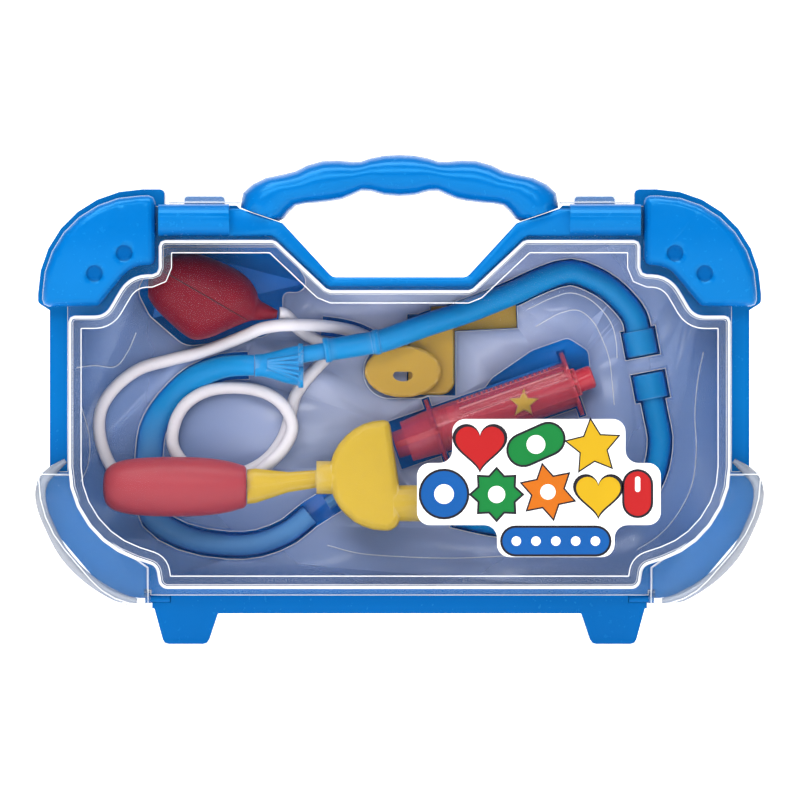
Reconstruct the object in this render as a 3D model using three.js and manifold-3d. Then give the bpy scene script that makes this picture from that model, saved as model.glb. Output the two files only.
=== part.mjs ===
// A toy doctor case: a blue tub, a clear hinged lid with blue trim, and the toys in a formed tray.
// Millimetres, +X to the right, +Y to the back, +Z up. The origin is on the table under the middle.
import * as THREE from 'three';
import * as BufferGeometryUtils from 'three/addons/utils/BufferGeometryUtils.js';
import Module from 'manifold-3d';

const wasm = await Module();
wasm.setup();

// Case
const caseDepth = 74;
const lidDepth = 18;
const wall = 2.2;
const gap = 0.3;
const overrun = 2;
const sideX = 164;
const tubTop = 205.6;
const rimX = 169.5;
const rimTop = 213.2;
const rimEndX = 110.2;
const rimBottom = 160;
const rimSlope = 3.5;
const rimRadius = 49;
const rimCornerRadius = 2;
const backRadius = 8;
const backDraw = 6;
const frontY = -caseDepth / 2;
const backY = caseDepth / 2;
const partingY = frontY + lidDepth;

// Finger opening between the handle posts, which carry the grip's feet
const gripHalf = 74.6;
const gripFoot = 19.8;
const postLip = 0.2;
const postX = gripHalf + postLip;
const openingTopHalf = gripHalf - gripFoot;
const openingHalf = 31.5;
const openingBottom = 171.9;
const openingTop = 197.2;
const openingRadius = 4;
const postTop = 204;

// Lower corners, bottom bar and feet
const earX = 170.2;
const earBottom = 17.3;
const earTop = 80.8;
const earSideZ = 57.9;
const earBottomX = 135.2;
const earSideRadius = 52;
const earBottomRadius = 34;
const earShellRadius = 30;
const earInnerX = 112;
const earReach = 4.2;
const bottomBarZ = 14.3;
const footOuterX = 116.3;
const footTipX = 110.5;
const footInnerX = 85.2;
const footTipInnerX = 90;
const footRadius = 3;

// Hinge
const hingeBehindParting = 1.5;
const hingeZ = 21;
const lugRadius = 4.2;
const lugWidth = 3;
const pinRadius = 1.8;
const pinClearance = 0.1;
const pinLength = 12;
const bossRadius = 4.4;
const lugSlack = 0.5;
const hingeY = partingY + hingeBehindParting;

// Clear lid
const flange = 2;
const lidX = 155.6;
const windowX = 155;
const windowTop = 189.3;
const windowTopX = 112.7;
const windowBottom = 26;
const windowBottomX = 112.3;
const dipHalf = 33.5;
const dipZ = 165.8;
const dipTopLap = 3.6;
const dipTopX = openingTopHalf + dipTopLap;
const notchZ = 153.9;
const notchX = 137.9;
const notchTopZ = 173.2;
const notchTopX = 126.6;
const lowerSideZ = 68;
const lowerMidX = 136.7;
const lowerMidZ = 44.1;
const lowerStepX = 114;
const lowerStepZ = 36.6;
const lowerStepRadius = 4.5;
const windowSmallRadius = 3;
const windowBigRadius = 44;
const notchRadius = 15;
const notchFootRadius = 8;
const borderWidth = 6;
const borderHeight = 1.6;
const lidWall = 1.8;
const lidEdgeRound = 1.2;
const lidEase = 0.5;
const edgeRound = 1;
const earDepth = 9;
const earLap = 4;
const flangeBottom = 23;
const trimLap = 2;
const windowY = frontY + lidEase;
const paneY = windowY + borderHeight;

// Blue front trim
const trimBack = partingY - flange - gap;
const trimSetBack = 6;
const trimY = frontY + trimSetBack;
const trimBottom = 191.1;
const trimDipZ = 167.6;
const trimDipHalf = 33.9;
const trimDipTopX = dipTopX + 2 * gap;
const trimEndX = 113;
const barRadius = 7.5;
const barInset = 5;
const barEndX = postX + barInset;
const trimWall = 2;

// Corner caps
const capTop = 210.2;
const capX = 167.3;
const capInnerX = 114.3;
const capBottom = 158.2;
const capRadius = 46;
const capNotchX = 141;
const capNotchTopX = 125.3;
const capNotchTopZ = 177.3;
const capNotchRadius = 13;
const capEdge = 6;
const capDraw = 3.5;
const capInnerDraw = 2.4;
const dimpleRadius = 3.9;
const dimpleDepth = 0.9;
const dimplePlaces = [[128.9, 183.1], [142.8, 173.6]];

// Finger grip
const gripBase = 197.9;
const gripTop = 229.4;
const gripFrontDepth = 14;
const gripRearDepth = 20;
const gripLift = 0.45;

// Catch ridges and clasps
const claspInset = 0.9;
const claspRoom = 1.3;
const claspStrip = 7.15;
const claspWidth = rimEndX - gripHalf - 2 * claspRoom;
const catchWidth = claspWidth - 2 * claspStrip;
const catchX = (rimEndX + gripHalf) / 2 - claspInset;
const catchHeight = 4.2;
const catchLength = 8.6;
const catchBack = 3.4;
const claspThickness = 1.3;
const claspLift = 0.5;
const claspClearance = 0.4;
const claspSlope = 1.4;
const knuckleRadius = 0.9;

// Tray
const trayFace = 11;
const sheet = 1.2;
const pocketEase = 1;
const ledge = 1.2;
const chestPocket = 29;

// Otoscope
const otoGripX = -139.2;
const otoGripLength = 67.3;
const otoGripRadius = 14;
const otoZ = 73.7;
const otoHeadX = -33;
const otoCollarWidth = 6;
const otoCollarHeight = 15.6;
const otoCollarZ = 78;
const otoHeadWidth = 33.3;
const otoHeadHeight = 51.9;
const otoHeadBase = 53.1;
const otoHeadThickness = 17;
const otoHeadEdge = 3;
const otoSpoutRadius = 8.5;
const otoSpoutZ = 65.9;
const otoSpoutX = 10;
const speculumLength = 18;
const speculumTip = 3.2;
const speculumCuff = 4.5;
const speculumBore = 2;

// Syringe
const syringeX = 16.4;
const syringeZ = 99.5;
const syringeAngle = 19.3;
const barrelLength = 67.3;
const barrelRadius = 10.8;
const boreRadius = 9.2;
const fingerFlangeRadius = 15.6;
const fingerFlangeWidth = 2;
const hubLength = 14;
const nozzleLength = 5.5;
const nozzleRadius = 6.4;
const nozzleBore = 1.5;
const nozzleRootRadius = 6.6;
const pistonLength = 4;
const sealLength = 3;
const sealDome = 1;
const knobRadius = 5.4;
const knobLength = 9.5;
const knobLip = 1;
const knobLipWidth = 2;
const rodHalf = 6.6;
const rodThickness = 2.6;
const rackPitch = 3;
const rackDepth = 1.1;
const pistonStart = 3;

// Stethoscope
const forkY = -1.8;
const earTubeY = 17.5;
const forkStartX = -68;
const forkZ = 130.7;
const forkEndX = -45.2;
const forkUpperZ = 135.4;
const forkLowerZ = 125.1;
const forkRadius = 5.2;
const forkSocketRadius = 5.6;
const forkLowerRadius = 5;
const forkLipWidth = 2.4;
const forkMouthDepth = 4.4;
const forkRibX = -62;
const forkRibRadius = 0.9;
const neckRadius = 4;
const sleeveStartX = -35.5;
const sleeveEndX = -9.2;
const sleeveZ = 137.6;
const sleeveEndZ = 141.9;
const sleeveRadius = 5.2;
const ringRadius = 5.9;
const ringWidth = 3;
const neckSocketDepth = 2.7;
const neckReach = 1.4;
const earTubeRadius = 5.5;
const lowerTubeRadius = 5.1;
const earTipRadius = 7.5;
const earTipLength = 12;
const upperTip = [113.3, 141.3];
const lowerTip = [118, 120.9];
const tipLean = 0.19;
const tipSocketDepth = 2;
const tipEdge = 0.5;
const tubeShallowY = 11;
const hoseHalfDepth = 4;
const hoseStartHalf = 5.6;
const hoseEndHalf = 4.2;
const hoseY = 15.4;
const chestX = -16.7;
const chestZ = 76;
const chestRadius = 14;
const chestDepth = 8;
const diaphragmRadius = 12;
const diaphragmDepth = 0.8;
const chestStem = 8;
const stemRadius = 3.2;
const stemAngle = 31;
const stemX = -27.2;
const stemZ = 69.7;

// Blood pressure pump: bulb, hose and gauge
const bulbX = -118.2;
const bulbLength = 61;
const bulbBase = 142.6;
const bulbHeight = 40.6;
const bulbY = -1;
const bulbDepthRadius = 18;
const pumpHoseRadius = 2.9;
const plugRadius = 3.7;
const plugLength = 8.5;
const plugShoulder = 2;
const plugZ = 141;
const plugY = 16.2;
const dialX = 1.6;
const dialZ = 127.9;
const dialHalfWidth = 18;
const dialHalfHeight = 12.3;
const dialHoleHalf = 4.6;
const dialHoleHeight = 2.8;
const dialHoleFlat = 0.6;
const dialHoleDrop = 1.9;
const dialThickness = 5;
const dialFront = 7;
const bracketX = 15;
const bracketZ = 135.6;
const bracketWidth = 22;
const bracketHeight = 37.6;
const bracketRadius = 7;
const bracketThickness = 9;
const strapThickness = 3;
const strapLength = 40;
const strapWidth = 12;
const strapAngle = 3;
const strapRise = 22.8;

// Label
const labelX = 65.2;
const labelWidth = 114;
const labelTopWidth = 81;
const labelFootWidth = 55;
const labelFootX = 73.1;
const labelTop = 105.5;
const labelShoulder = 84.9;
const labelBase = 55.9;
const labelFoot = 40.9;
const labelRadius = 6;
const labelThickness = 0.4;

// Counts and angles
const largeRadius = 4.2;
const largeQuarterSteps = 7;
const smallQuarterSteps = 2;
const upperTubeSteps = 30;
const lowerTubeSteps = 24;
const hoseSteps = 36;
const pumpHoseSteps = 60;
const endSteps = 3;
const roundSides = 18;
const tubeSides = 8;
const gripSides = 10;
const bulbSides = 16;
const discSides = 28;
const fullTurn = Math.PI * 2;
const rightAngle = Math.PI / 2;
const degree = Math.PI / 180;

const colours = {
  blue: 0x0e84dc,
  softBlue: 0x2f9fee,
  clear: 0xd9e3ea,
  red: 0xc8303c,
  darkRed: 0x9c2530,
  yellow: 0xf2c62c,
  white: 0xe6e3e4,
  label: 0xf7f7f4,
};

function plastic(colour, roughness = 0.3) {
  return new THREE.MeshStandardMaterial({ color: colour, roughness, metalness: 0 });
}

function clearPlastic(colour, opacity) {
  return new THREE.MeshStandardMaterial({
    color: colour, roughness: 0.12, metalness: 0, transparent: true, opacity,
  });
}

// Solids

function faceOut(geometry) {
  const position = geometry.getAttribute('position');
  const index = geometry.getIndex().array;
  const [a, b, c] = [new THREE.Vector3(), new THREE.Vector3(), new THREE.Vector3()];
  let volume = 0;
  for (let i = 0; i < index.length; i += 3) {
    a.fromBufferAttribute(position, index[i]);
    b.fromBufferAttribute(position, index[i + 1]);
    c.fromBufferAttribute(position, index[i + 2]);
    volume += a.dot(b.cross(c));
  }
  if (volume < 0) {
    for (let i = 0; i < index.length; i += 3) {
      [index[i], index[i + 1]] = [index[i + 1], index[i]];
    }
  }
  return geometry;
}

function merged(geometry) {
  const plain = geometry.index ? geometry.clone() : geometry;
  plain.deleteAttribute('normal');
  plain.deleteAttribute('uv');
  return faceOut(BufferGeometryUtils.mergeVertices(plain, 1e-4));
}

function solid(geometry) {
  const plain = merged(geometry);
  return new wasm.Manifold(new wasm.Mesh({
    numProp: 3,
    vertProperties: new Float32Array(plain.getAttribute('position').array),
    triVerts: new Uint32Array(plain.getIndex().array),
  }));
}

function geometryOf(manifold) {
  const mesh = manifold.getMesh();
  const geometry = new THREE.BufferGeometry();
  geometry.setAttribute('position', new THREE.Float32BufferAttribute(mesh.vertProperties, 3));
  geometry.setIndex(new THREE.Uint32BufferAttribute(mesh.triVerts, 1));
  return geometry;
}

function join(...solids) {
  return solids.reduce((sum, next) => sum.add(next));
}

function cut(body, ...tools) {
  return tools.reduce((rest, tool) => rest.subtract(tool), body);
}

function capTriangles(ring, flat) {
  if (!flat) {
    return ring.slice(2).map((_, i) => [0, i + 1, i + 2]);
  }
  return THREE.ShapeUtils.triangulateShape(ring.map((p) => new THREE.Vector2(p.x, p.z)), []);
}

// A skin over rings of points that all have the same count.
// Flat rings lie square to Y and may be hollow-sided.
function loft(rings, flat = false) {
  const count = rings[0].length;
  const positions = rings.flat().flatMap((p) => [p.x, p.y, p.z]);
  const index = [];
  for (let r = 0; r < rings.length - 1; r += 1) {
    for (let i = 0; i < count; i += 1) {
      const a = r * count + i;
      const b = r * count + ((i + 1) % count);
      index.push(a, b, b + count, a, b + count, a + count);
    }
  }
  const last = (rings.length - 1) * count;
  capTriangles(rings[0], flat).forEach(([a, b, c]) => index.push(a, c, b));
  capTriangles(rings.at(-1), flat).forEach(([a, b, c]) => index.push(last + a, last + b, last + c));
  const geometry = new THREE.BufferGeometry();
  geometry.setAttribute('position', new THREE.Float32BufferAttribute(positions, 3));
  geometry.setIndex(index);
  return solid(geometry);
}

// Outlines in the XZ plane

// Each corner is [x, z, radius]. The outline turns anticlockwise seen from the front.
// inset moves it inwards.
function outline(corners, inset = 0) {
  const count = corners.length;
  const points = [];
  const moved = corners.map((corner, i) => {
    const before = corners[(i + count - 1) % count];
    const after = corners[(i + 1) % count];
    const inEdge = new THREE.Vector2(corner[0] - before[0], corner[1] - before[1]).normalize();
    const outEdge = new THREE.Vector2(after[0] - corner[0], after[1] - corner[1]).normalize();
    const turn = inEdge.cross(outEdge);
    const bisector = new THREE.Vector2(-inEdge.y - outEdge.y, inEdge.x + outEdge.x);
    const shift = (2 * inset) / bisector.lengthSq();
    const place = new THREE.Vector2(corner[0], corner[1]).addScaledVector(bisector, shift);
    const angle = Math.abs(Math.atan2(turn, inEdge.dot(outEdge)));
    return { place, inEdge, outEdge, turn, angle, radius: corner[2] };
  });
  moved.forEach(({ place, inEdge, outEdge, turn, angle, radius }) => {
    if (radius === 0 || angle === 0) {
      points.push(place);
      return;
    }
    const side = Math.sign(turn);
    const round = Math.max(radius - side * inset, gap);
    const reach = round * Math.tan(angle / 2);
    const start = place.clone().addScaledVector(inEdge, -reach);
    const toCentre = new THREE.Vector2(-inEdge.y, inEdge.x).multiplyScalar(side * round);
    const centre = start.clone().add(toCentre);
    const quarterSteps = radius > largeRadius ? largeQuarterSteps : smallQuarterSteps;
    const steps = Math.max(1, Math.ceil((angle / rightAngle) * quarterSteps));
    const arm = start.clone().sub(centre);
    for (let s = 0; s <= steps; s += 1) {
      points.push(arm.clone().rotateAround(new THREE.Vector2(), side * angle * (s / steps)).add(centre));
    }
  });
  return points;
}

// Both halves of an outline. The corners of the left half are given from the top down.
function bothHalves(leftCorners) {
  const right = leftCorners.filter(([x]) => x !== 0).reverse().map(([x, z, radius]) => [-x, z, radius]);
  return [...leftCorners, ...right];
}

function mirroredCorners(corners) {
  return corners.map(([x, z, radius]) => [-x, z, radius]).reverse();
}

function atDepth(points, y) {
  return points.map((p) => new THREE.Vector3(p.x, y, p.y));
}

// A plate with the given outline. steps lists [depth, inset] from one face to the other.
function plate(corners, steps) {
  return loft(steps.map(([y, inset]) => atDepth(outline(corners, inset), y)), true);
}

function slab(corners, fromY, toY, inset = 0) {
  return plate(corners, [[fromY, inset], [toY, inset]]);
}

// Steps of [depth, inset] for a quarter round that ends at endY. It starts at the inset from
// and is drawn in by inset more.
function roundedEnd(endY, depth, inset, from = 0) {
  const steps = [];
  for (let s = 0; s <= endSteps; s += 1) {
    const angle = (s / endSteps) * rightAngle;
    steps.push([endY - depth * (1 - Math.sin(angle)), from + inset * (1 - Math.cos(angle))]);
  }
  return steps;
}

function box(fromX, toX, fromY, toY, fromZ, toZ) {
  const geometry = new THREE.BoxGeometry(toX - fromX, toY - fromY, toZ - fromZ);
  return solid(geometry.translate((fromX + toX) / 2, (fromY + toY) / 2, (fromZ + toZ) / 2));
}

function rectangle(width, height, radius, x, z, angle = 0) {
  const corners = [[1, 1], [-1, 1], [-1, -1], [1, -1]];
  return corners.map(([u, v]) => {
    const p = new THREE.Vector2((u * width) / 2, (v * height) / 2);
    p.rotateAround(new THREE.Vector2(), angle);
    return [p.x + x, p.y + z, radius];
  });
}

// A turned solid on the X axis. profile lists [distance along X, radius] and starts and ends on the axis.
function turned(profile, sides = roundSides) {
  const geometry = new THREE.LatheGeometry(profile.map(([s, r]) => new THREE.Vector2(r, s)), sides);
  return solid(geometry.rotateZ(-rightAngle));
}

function rod(length, radius, sides = roundSides) {
  return turned([[0, 0], [0, radius], [length, radius], [length, 0]], sides);
}

function moved(body, x, y, z) {
  return solid(geometryOf(body).translate(x, y, z));
}

// Turns a solid in the XZ plane about the origin, then moves it.
function placed(body, angle, x, y, z) {
  return solid(geometryOf(body).rotateY(-angle).translate(x, y, z));
}

function curveThrough(places) {
  const points = places.map((place) => new THREE.Vector3(...place));
  return new THREE.CatmullRomCurve3(points, false, 'centripetal');
}

// A tube through points in the order x, depth, z. halfWidth lies in the XZ plane and halfDepth along Y.
function tube(places, halfWidth, halfDepth, steps, endHalfWidth = halfWidth) {
  const curve = curveThrough(places);
  const rings = [];
  for (let s = 0; s <= steps; s += 1) {
    const share = s / steps;
    const centre = curve.getPointAt(share);
    const along = curve.getTangentAt(share);
    const across = new THREE.Vector3(-along.z, 0, along.x).normalize();
    const outwards = new THREE.Vector3().crossVectors(along, across);
    const half = THREE.MathUtils.lerp(halfWidth, endHalfWidth, share);
    rings.push(Array.from({ length: tubeSides }, (_, i) => {
      const turn = (i / tubeSides) * fullTurn;
      return centre.clone()
        .addScaledVector(across, half * Math.cos(turn))
        .addScaledVector(outwards, halfDepth * Math.sin(turn));
    }));
  }
  return loft(rings);
}

// Rear shell

const openingCorners = [
  [-openingHalf, openingBottom, openingRadius],
  [-openingTopHalf, openingTop, 0],
  [-postX, postTop, 0],
];

const lowerCorner = [
  [-earX, earTop, windowSmallRadius],
  [-earX, earSideZ, earSideRadius],
  [-earBottomX, earBottom, earBottomRadius],
];

const shellCorners = bothHalves([
  ...openingCorners,
  [-postX - tubTop + postTop, tubTop, 0],
  [-rimEndX, tubTop, 0],
  [-rimEndX, rimTop, rimCornerRadius],
  [-rimX, rimTop, rimRadius],
  [-rimX, rimBottom, rimCornerRadius],
  [-sideX, rimBottom - rimSlope, 0],
  [-sideX, earTop - earReach, 0],
  [-earX + earReach, earTop - earReach, edgeRound],
  [-earX + earReach, earSideZ, earShellRadius],
  [-earBottomX, earBottom + earReach, earBottomRadius - earReach],
  [-footOuterX, earBottom + earReach, 0],
  [-footTipX, 0, footRadius],
  [-footTipInnerX, 0, footRadius],
  [-footInnerX, bottomBarZ, 0],
]);

const windowCorners = bothHalves([
  [-dipHalf, dipZ, windowSmallRadius],
  [-dipTopX, windowTop, windowSmallRadius],
  [-windowTopX, windowTop, windowSmallRadius],
  [-windowTopX, notchTopZ, windowSmallRadius],
  [-notchTopX, notchTopZ, notchRadius],
  [-notchX, notchZ, notchFootRadius],
  [-windowX, notchZ, windowSmallRadius],
  [-windowX, lowerSideZ, windowBigRadius],
  [-lowerMidX, lowerMidZ, windowBigRadius],
  [-lowerStepX, lowerStepZ, lowerStepRadius],
  [-windowBottomX, windowBottom, lowerStepRadius],
]);

function catchRidge(side) {
  const x = side * catchX;
  const front = partingY + catchBack;
  const middleZ = tubTop + (catchHeight - overrun) / 2;
  const corners = rectangle(catchWidth, catchHeight + overrun, claspSlope, x, middleZ);
  return slab(corners, front, front + catchLength);
}

function hingeBoss(side) {
  const bossLength = pinLength - lugWidth;
  const start = side > 0 ? footOuterX - bossLength - gap : -footOuterX + gap;
  const boss = moved(rod(bossLength, bossRadius), start, hingeY, hingeZ);
  const shellFront = box(-sideX, sideX, partingY + gap, backY, 0, tubTop);
  return boss.intersect(shellFront);
}

function lugSlot(side) {
  const inner = footOuterX;
  const outer = footOuterX + lugWidth + lugSlack;
  const reach = lugRadius + lugSlack;
  const [from, to] = side > 0 ? [inner, outer] : [-outer, -inner];
  return box(from, to, partingY - overrun, hingeY + reach, hingeZ - reach - overrun, hingeZ + reach);
}

function pinBore(side, radius) {
  const length = pinLength + overrun;
  const start = side > 0 ? footOuterX + lugWidth - pinLength : -footOuterX - lugWidth - overrun;
  return moved(rod(length, radius), start, hingeY, hingeZ);
}

function rearShell() {
  const front = partingY + gap;
  const outside = plate(shellCorners, [[front, 0], ...roundedEnd(backY, backRadius, backDraw)]);
  const ledgeY = trayFace + sheet + gap;
  const mouth = slab(windowCorners, front - overrun, front + 2 * wall);
  const inside = plate(shellCorners, [
    [front + wall, wall], [ledgeY, wall], [ledgeY, wall + ledge],
    ...roundedEnd(backY - wall, backRadius - wall, backDraw - wall, wall + ledge),
  ]);
  const ridges = [-1, 1].map(catchRidge);
  const bosses = [-1, 1].map(hingeBoss);
  const slots = [-1, 1].map(lugSlot);
  const bores = [-1, 1].map((side) => pinBore(side, pinRadius + pinClearance));
  return cut(join(cut(outside, inside, mouth), ...ridges, ...bosses), ...slots, ...bores);
}

function hingePin(side) {
  const start = side > 0 ? footOuterX + lugWidth - pinLength + gap : -footOuterX - lugWidth;
  return moved(rod(pinLength - gap, pinRadius), start, hingeY, hingeZ);
}

// Finger grip, each half skinned over stations of an outer and an inner point

const gripOuterShares = [
  [-1, 0.215], [-0.985, 0.43], [-0.925, 0.56], [-0.84, 0.657], [-0.73, 0.711], [-0.655, 0.755],
  [-0.58, 0.844], [-0.483, 0.908], [-0.389, 0.917], [-0.302, 0.898], [-0.241, 0.902], [-0.181, 0.949],
  [-0.094, 0.99], [0, 1],
];
const gripFullness = 0.8;
const gripInnerShares = [
  [-0.768, 0], [-0.724, 0.051], [-0.693, 0.146], [-0.65, 0.241], [-0.59, 0.27], [-0.55, 0.276],
  [-0.496, 0.286], [-0.429, 0.305], [-0.362, 0.333], [-0.295, 0.397], [-0.241, 0.457], [-0.181, 0.451],
  [-0.094, 0.394], [0, 0.378],
];

function gripHalfSolid(y, depth) {
  const height = gripTop - gripBase;
  const scale = ([u, v]) => [u * gripHalf, gripBase + v * height];
  const left = gripOuterShares.map((share, i) => [scale(share), scale(gripInnerShares[i])]);
  const right = left.slice(0, -1).reverse().map((pair) => pair.map(([x, z]) => [-x, z]));
  const rings = [...left, ...right].map(([[ox, oz], [ix, iz]]) => {
    const points = [];
    for (let s = 0; s <= gripSides; s += 1) {
      const turn = (s / gripSides) * Math.PI;
      const across = Math.sign(Math.cos(turn)) * Math.abs(Math.cos(turn)) ** gripFullness;
      const outwards = Math.max(Math.sin(turn), 0) ** gripFullness;
      points.push(new THREE.Vector3(
        (ox + ix) / 2 + ((ox - ix) / 2) * across,
        y + depth * outwards,
        (oz + iz) / 2 + ((oz - iz) / 2) * across,
      ));
    }
    return points;
  });
  return loft(rings);
}

function aboveSeam(body) {
  const run = postX - openingTopHalf;
  const rise = postTop - openingTop;
  const lift = gripLift;
  const corners = bothHalves([
    [-openingTopHalf - run, gripTop + overrun, 0],
    [-openingTopHalf - 2 * run, openingTop + 2 * rise + lift, 0],
    [-openingTopHalf + run, openingTop - rise + lift, 0],
  ]);
  return body.intersect(slab(corners, frontY - overrun, backY + overrun));
}

// Clear lid

const flangeCorners = bothHalves([
  [-openingHalf - gap, openingBottom - trimLap, openingRadius],
  [-openingTopHalf - trimLap, openingTop - gap, 0],
  [-postX - trimLap, postTop - gap, 0],
  [-capInnerX - trimLap, tubTop - gap, 0],
  [-capInnerX - trimLap, capTop - trimLap, 0],
  [-capX + trimLap, capTop - trimLap, capRadius - trimLap],
  [-capX + trimLap, capBottom + trimLap, 0],
  [-lidX, capBottom + trimLap, 0],
  [-lidX, earTop, 0],
  ...lowerCorner,
  [-footOuterX - gap, earBottom, 0],
  [-footOuterX - gap, flangeBottom, 0],
  [-earInnerX, flangeBottom, 0],
]);

const earCorners = [
  [-lidX + earLap, earTop, 0],
  ...lowerCorner,
  [-footOuterX - gap, earBottom, 0],
  [-footOuterX - gap, lowerStepZ, 0],
  [-lowerMidX + earLap, lowerMidZ + earLap, 0],
  [-lidX + earLap, lowerSideZ + earLap, 0],
];

function hingeLug(side) {
  const start = side > 0 ? footOuterX + gap : -footOuterX - lugWidth;
  const lug = moved(rod(lugWidth - gap, lugRadius), start, hingeY, hingeZ);
  const end = start + lugWidth - gap;
  const arm = box(start, end, partingY - flange, hingeY, hingeZ - lugRadius, hingeZ + lugRadius);
  return join(lug, arm);
}

function lidWindow() {
  const rim = slab(flangeCorners, partingY - flange, partingY);
  const roundY = windowY + lidEdgeRound;
  const raised = plate(windowCorners, [
    [partingY - flange / 2, 0], [roundY, 0], [windowY, lidEdgeRound],
  ]);
  const ears = [earCorners, mirroredCorners(earCorners)].map((corners) => plate(corners, [
    [partingY - flange / 2, 0], [partingY - earDepth + lidEdgeRound, 0], [partingY - earDepth, lidEdgeRound],
  ]));
  const earHollows = [earCorners, mirroredCorners(earCorners)].map((corners) => (
    slab(corners, partingY + overrun, partingY - earDepth + lidWall, lidWall)
  ));
  const pane = slab(windowCorners, windowY - overrun, paneY, borderWidth);
  const hollow = slab(windowCorners, partingY + overrun, paneY + lidWall, lidWall);
  const lugs = [-1, 1].map(hingeLug);
  const bores = [-1, 1].map((side) => pinBore(side, pinRadius + pinClearance));
  return cut(join(cut(join(rim, raised, ...ears), pane, hollow, ...earHollows), ...lugs), ...bores);
}

// Blue trim and corner caps

const trimCorners = bothHalves([
  [-openingHalf, openingBottom, openingRadius],
  [-openingTopHalf, openingTop, 0],
  [-postX, postTop, 0],
  [-barEndX, postTop, 0],
  [-barEndX, trimBottom + 2 * barRadius, 0],
  [-trimEndX, trimBottom + 2 * barRadius, 0],
  [-trimEndX, trimBottom, 0],
  [-trimDipTopX, trimBottom, windowSmallRadius],
  [-trimDipHalf, trimDipZ, windowSmallRadius],
]);

function frontTrim() {
  const body = plate(trimCorners, [[trimBack, 0], [trimY + lidEdgeRound, 0], [trimY, lidEdgeRound]]);
  const hollow = slab(trimCorners, trimBack + overrun, trimY + trimWall, trimWall);
  const length = trimEndX - barEndX;
  const barY = frontY + barRadius;
  const bars = [-trimEndX, barEndX].map((x) => {
    return moved(rod(length, barRadius, discSides), x, barY, trimBottom + barRadius);
  });
  const front = box(-sideX, sideX, frontY - overrun, trimBack, 0, gripTop);
  return cut(join(body, ...bars).intersect(front), hollow);
}

const capCorners = [
  [-capInnerX, capTop, windowSmallRadius],
  [-capX, capTop, capRadius],
  [-capX, capBottom, windowSmallRadius],
  [-capNotchX, capBottom, windowSmallRadius],
  [-capNotchTopX, capNotchTopZ, capNotchRadius],
  [-capInnerX, capNotchTopZ, windowSmallRadius],
];

function cornerCap(side) {
  const corners = side < 0 ? capCorners : mirroredCorners(capCorners);
  const body = plate(corners, [[trimBack, 0], ...roundedEnd(frontY, -capEdge, capDraw)]);
  const hollow = plate(corners, [
    [trimBack + overrun, wall],
    ...roundedEnd(frontY + wall, wall - capEdge, capInnerDraw, wall),
  ]);
  const dimples = dimplePlaces.map(([x, z]) => {
    const length = dimpleDepth + overrun;
    const disc = solid(new THREE.CylinderGeometry(dimpleRadius, dimpleRadius, length, roundSides));
    return moved(disc, side * x, frontY + (dimpleDepth - overrun) / 2, z);
  });
  return cut(body, hollow, ...dimples);
}

// The label is cut in three rows: top, middle and foot
const labelCorners = [
  [labelX - labelTopWidth / 2, labelTop, labelRadius],
  [labelX - labelTopWidth / 2, labelShoulder, labelRadius],
  [labelX - labelWidth / 2, labelShoulder, labelRadius],
  [labelX - labelWidth / 2, labelBase, labelRadius],
  [labelFootX - labelFootWidth / 2, labelBase, labelRadius],
  [labelFootX - labelFootWidth / 2, labelFoot, labelRadius],
  [labelFootX + labelFootWidth / 2, labelFoot, labelRadius],
  [labelFootX + labelFootWidth / 2, labelBase, labelRadius],
  [labelX + labelWidth / 2, labelBase, labelRadius],
  [labelX + labelWidth / 2, labelShoulder, labelRadius],
  [labelX + labelTopWidth / 2, labelShoulder, labelRadius],
  [labelX + labelTopWidth / 2, labelTop, labelRadius],
];

function lidLabel() {
  return slab(labelCorners, paneY - gap, paneY - gap - labelThickness);
}

// Snap clasps: a hood over the catch ridge and a strip with a hinge knuckle at its front edge

function clasp(side) {
  const x = side * catchX;
  const front = partingY - flange / 2;
  const base = tubTop + claspLift;
  const ridgeFront = partingY + catchBack;
  const ridgeBack = ridgeFront + catchLength;
  const room = claspClearance;
  const shellWall = room + claspThickness;
  const topZ = tubTop + catchHeight + shellWall;
  const half = claspWidth / 2;
  const strip = box(x - half, x + half, front, ridgeBack + shellWall, base, base + claspThickness);
  const hoodWidth = catchWidth + 2 * (shellWall + claspSlope);
  const midZ = (base + topZ) / 2;
  const hood = slab(
    rectangle(hoodWidth, topZ - base, claspSlope, x, midZ),
    ridgeFront - shellWall,
    ridgeBack + shellWall,
  );
  const room3d = box(
    x - catchWidth / 2 - room, x + catchWidth / 2 + room,
    ridgeFront - room, ridgeBack + room,
    base - overrun, tubTop + catchHeight + room,
  );
  const knuckle = moved(rod(claspWidth, knuckleRadius), x - half, front, base + knuckleRadius);
  return cut(join(strip, hood, knuckle), room3d);
}

// Otoscope

const otoGripShares = [
  [0, 0], [0, 0.45], [0.04, 0.68], [0.12, 0.86], [0.28, 0.97], [0.5, 1], [0.7, 0.97],
  [0.86, 0.87], [0.96, 0.74], [1, 0.6], [1, 0],
];
const otoHeadShares = [
  [0, 0.708, 0.74], [0.456, 1, 0.74], [0.85, 1, 0.09], [0.98, 0.44, 0.2], [1, 0, 0.18], [0.456, 0, 0.74],
  [0, 0.292, 0.76],
];
const otoNeckShares = [[0, 0.58], [0.1, 0.58], [0.5, 0.34], [0.82, 0.3], [1, 0.34]];
const otoNeckFlatness = 0.7;
const otoY = trayFace - 2 * gap - 2 * pumpHoseRadius - otoGripRadius;

function otoscopeGrip() {
  const profile = otoGripShares.map(([s, r]) => [s * otoGripLength, r * otoGripRadius]);
  return moved(turned(profile), otoGripX, 0, otoZ);
}

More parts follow.
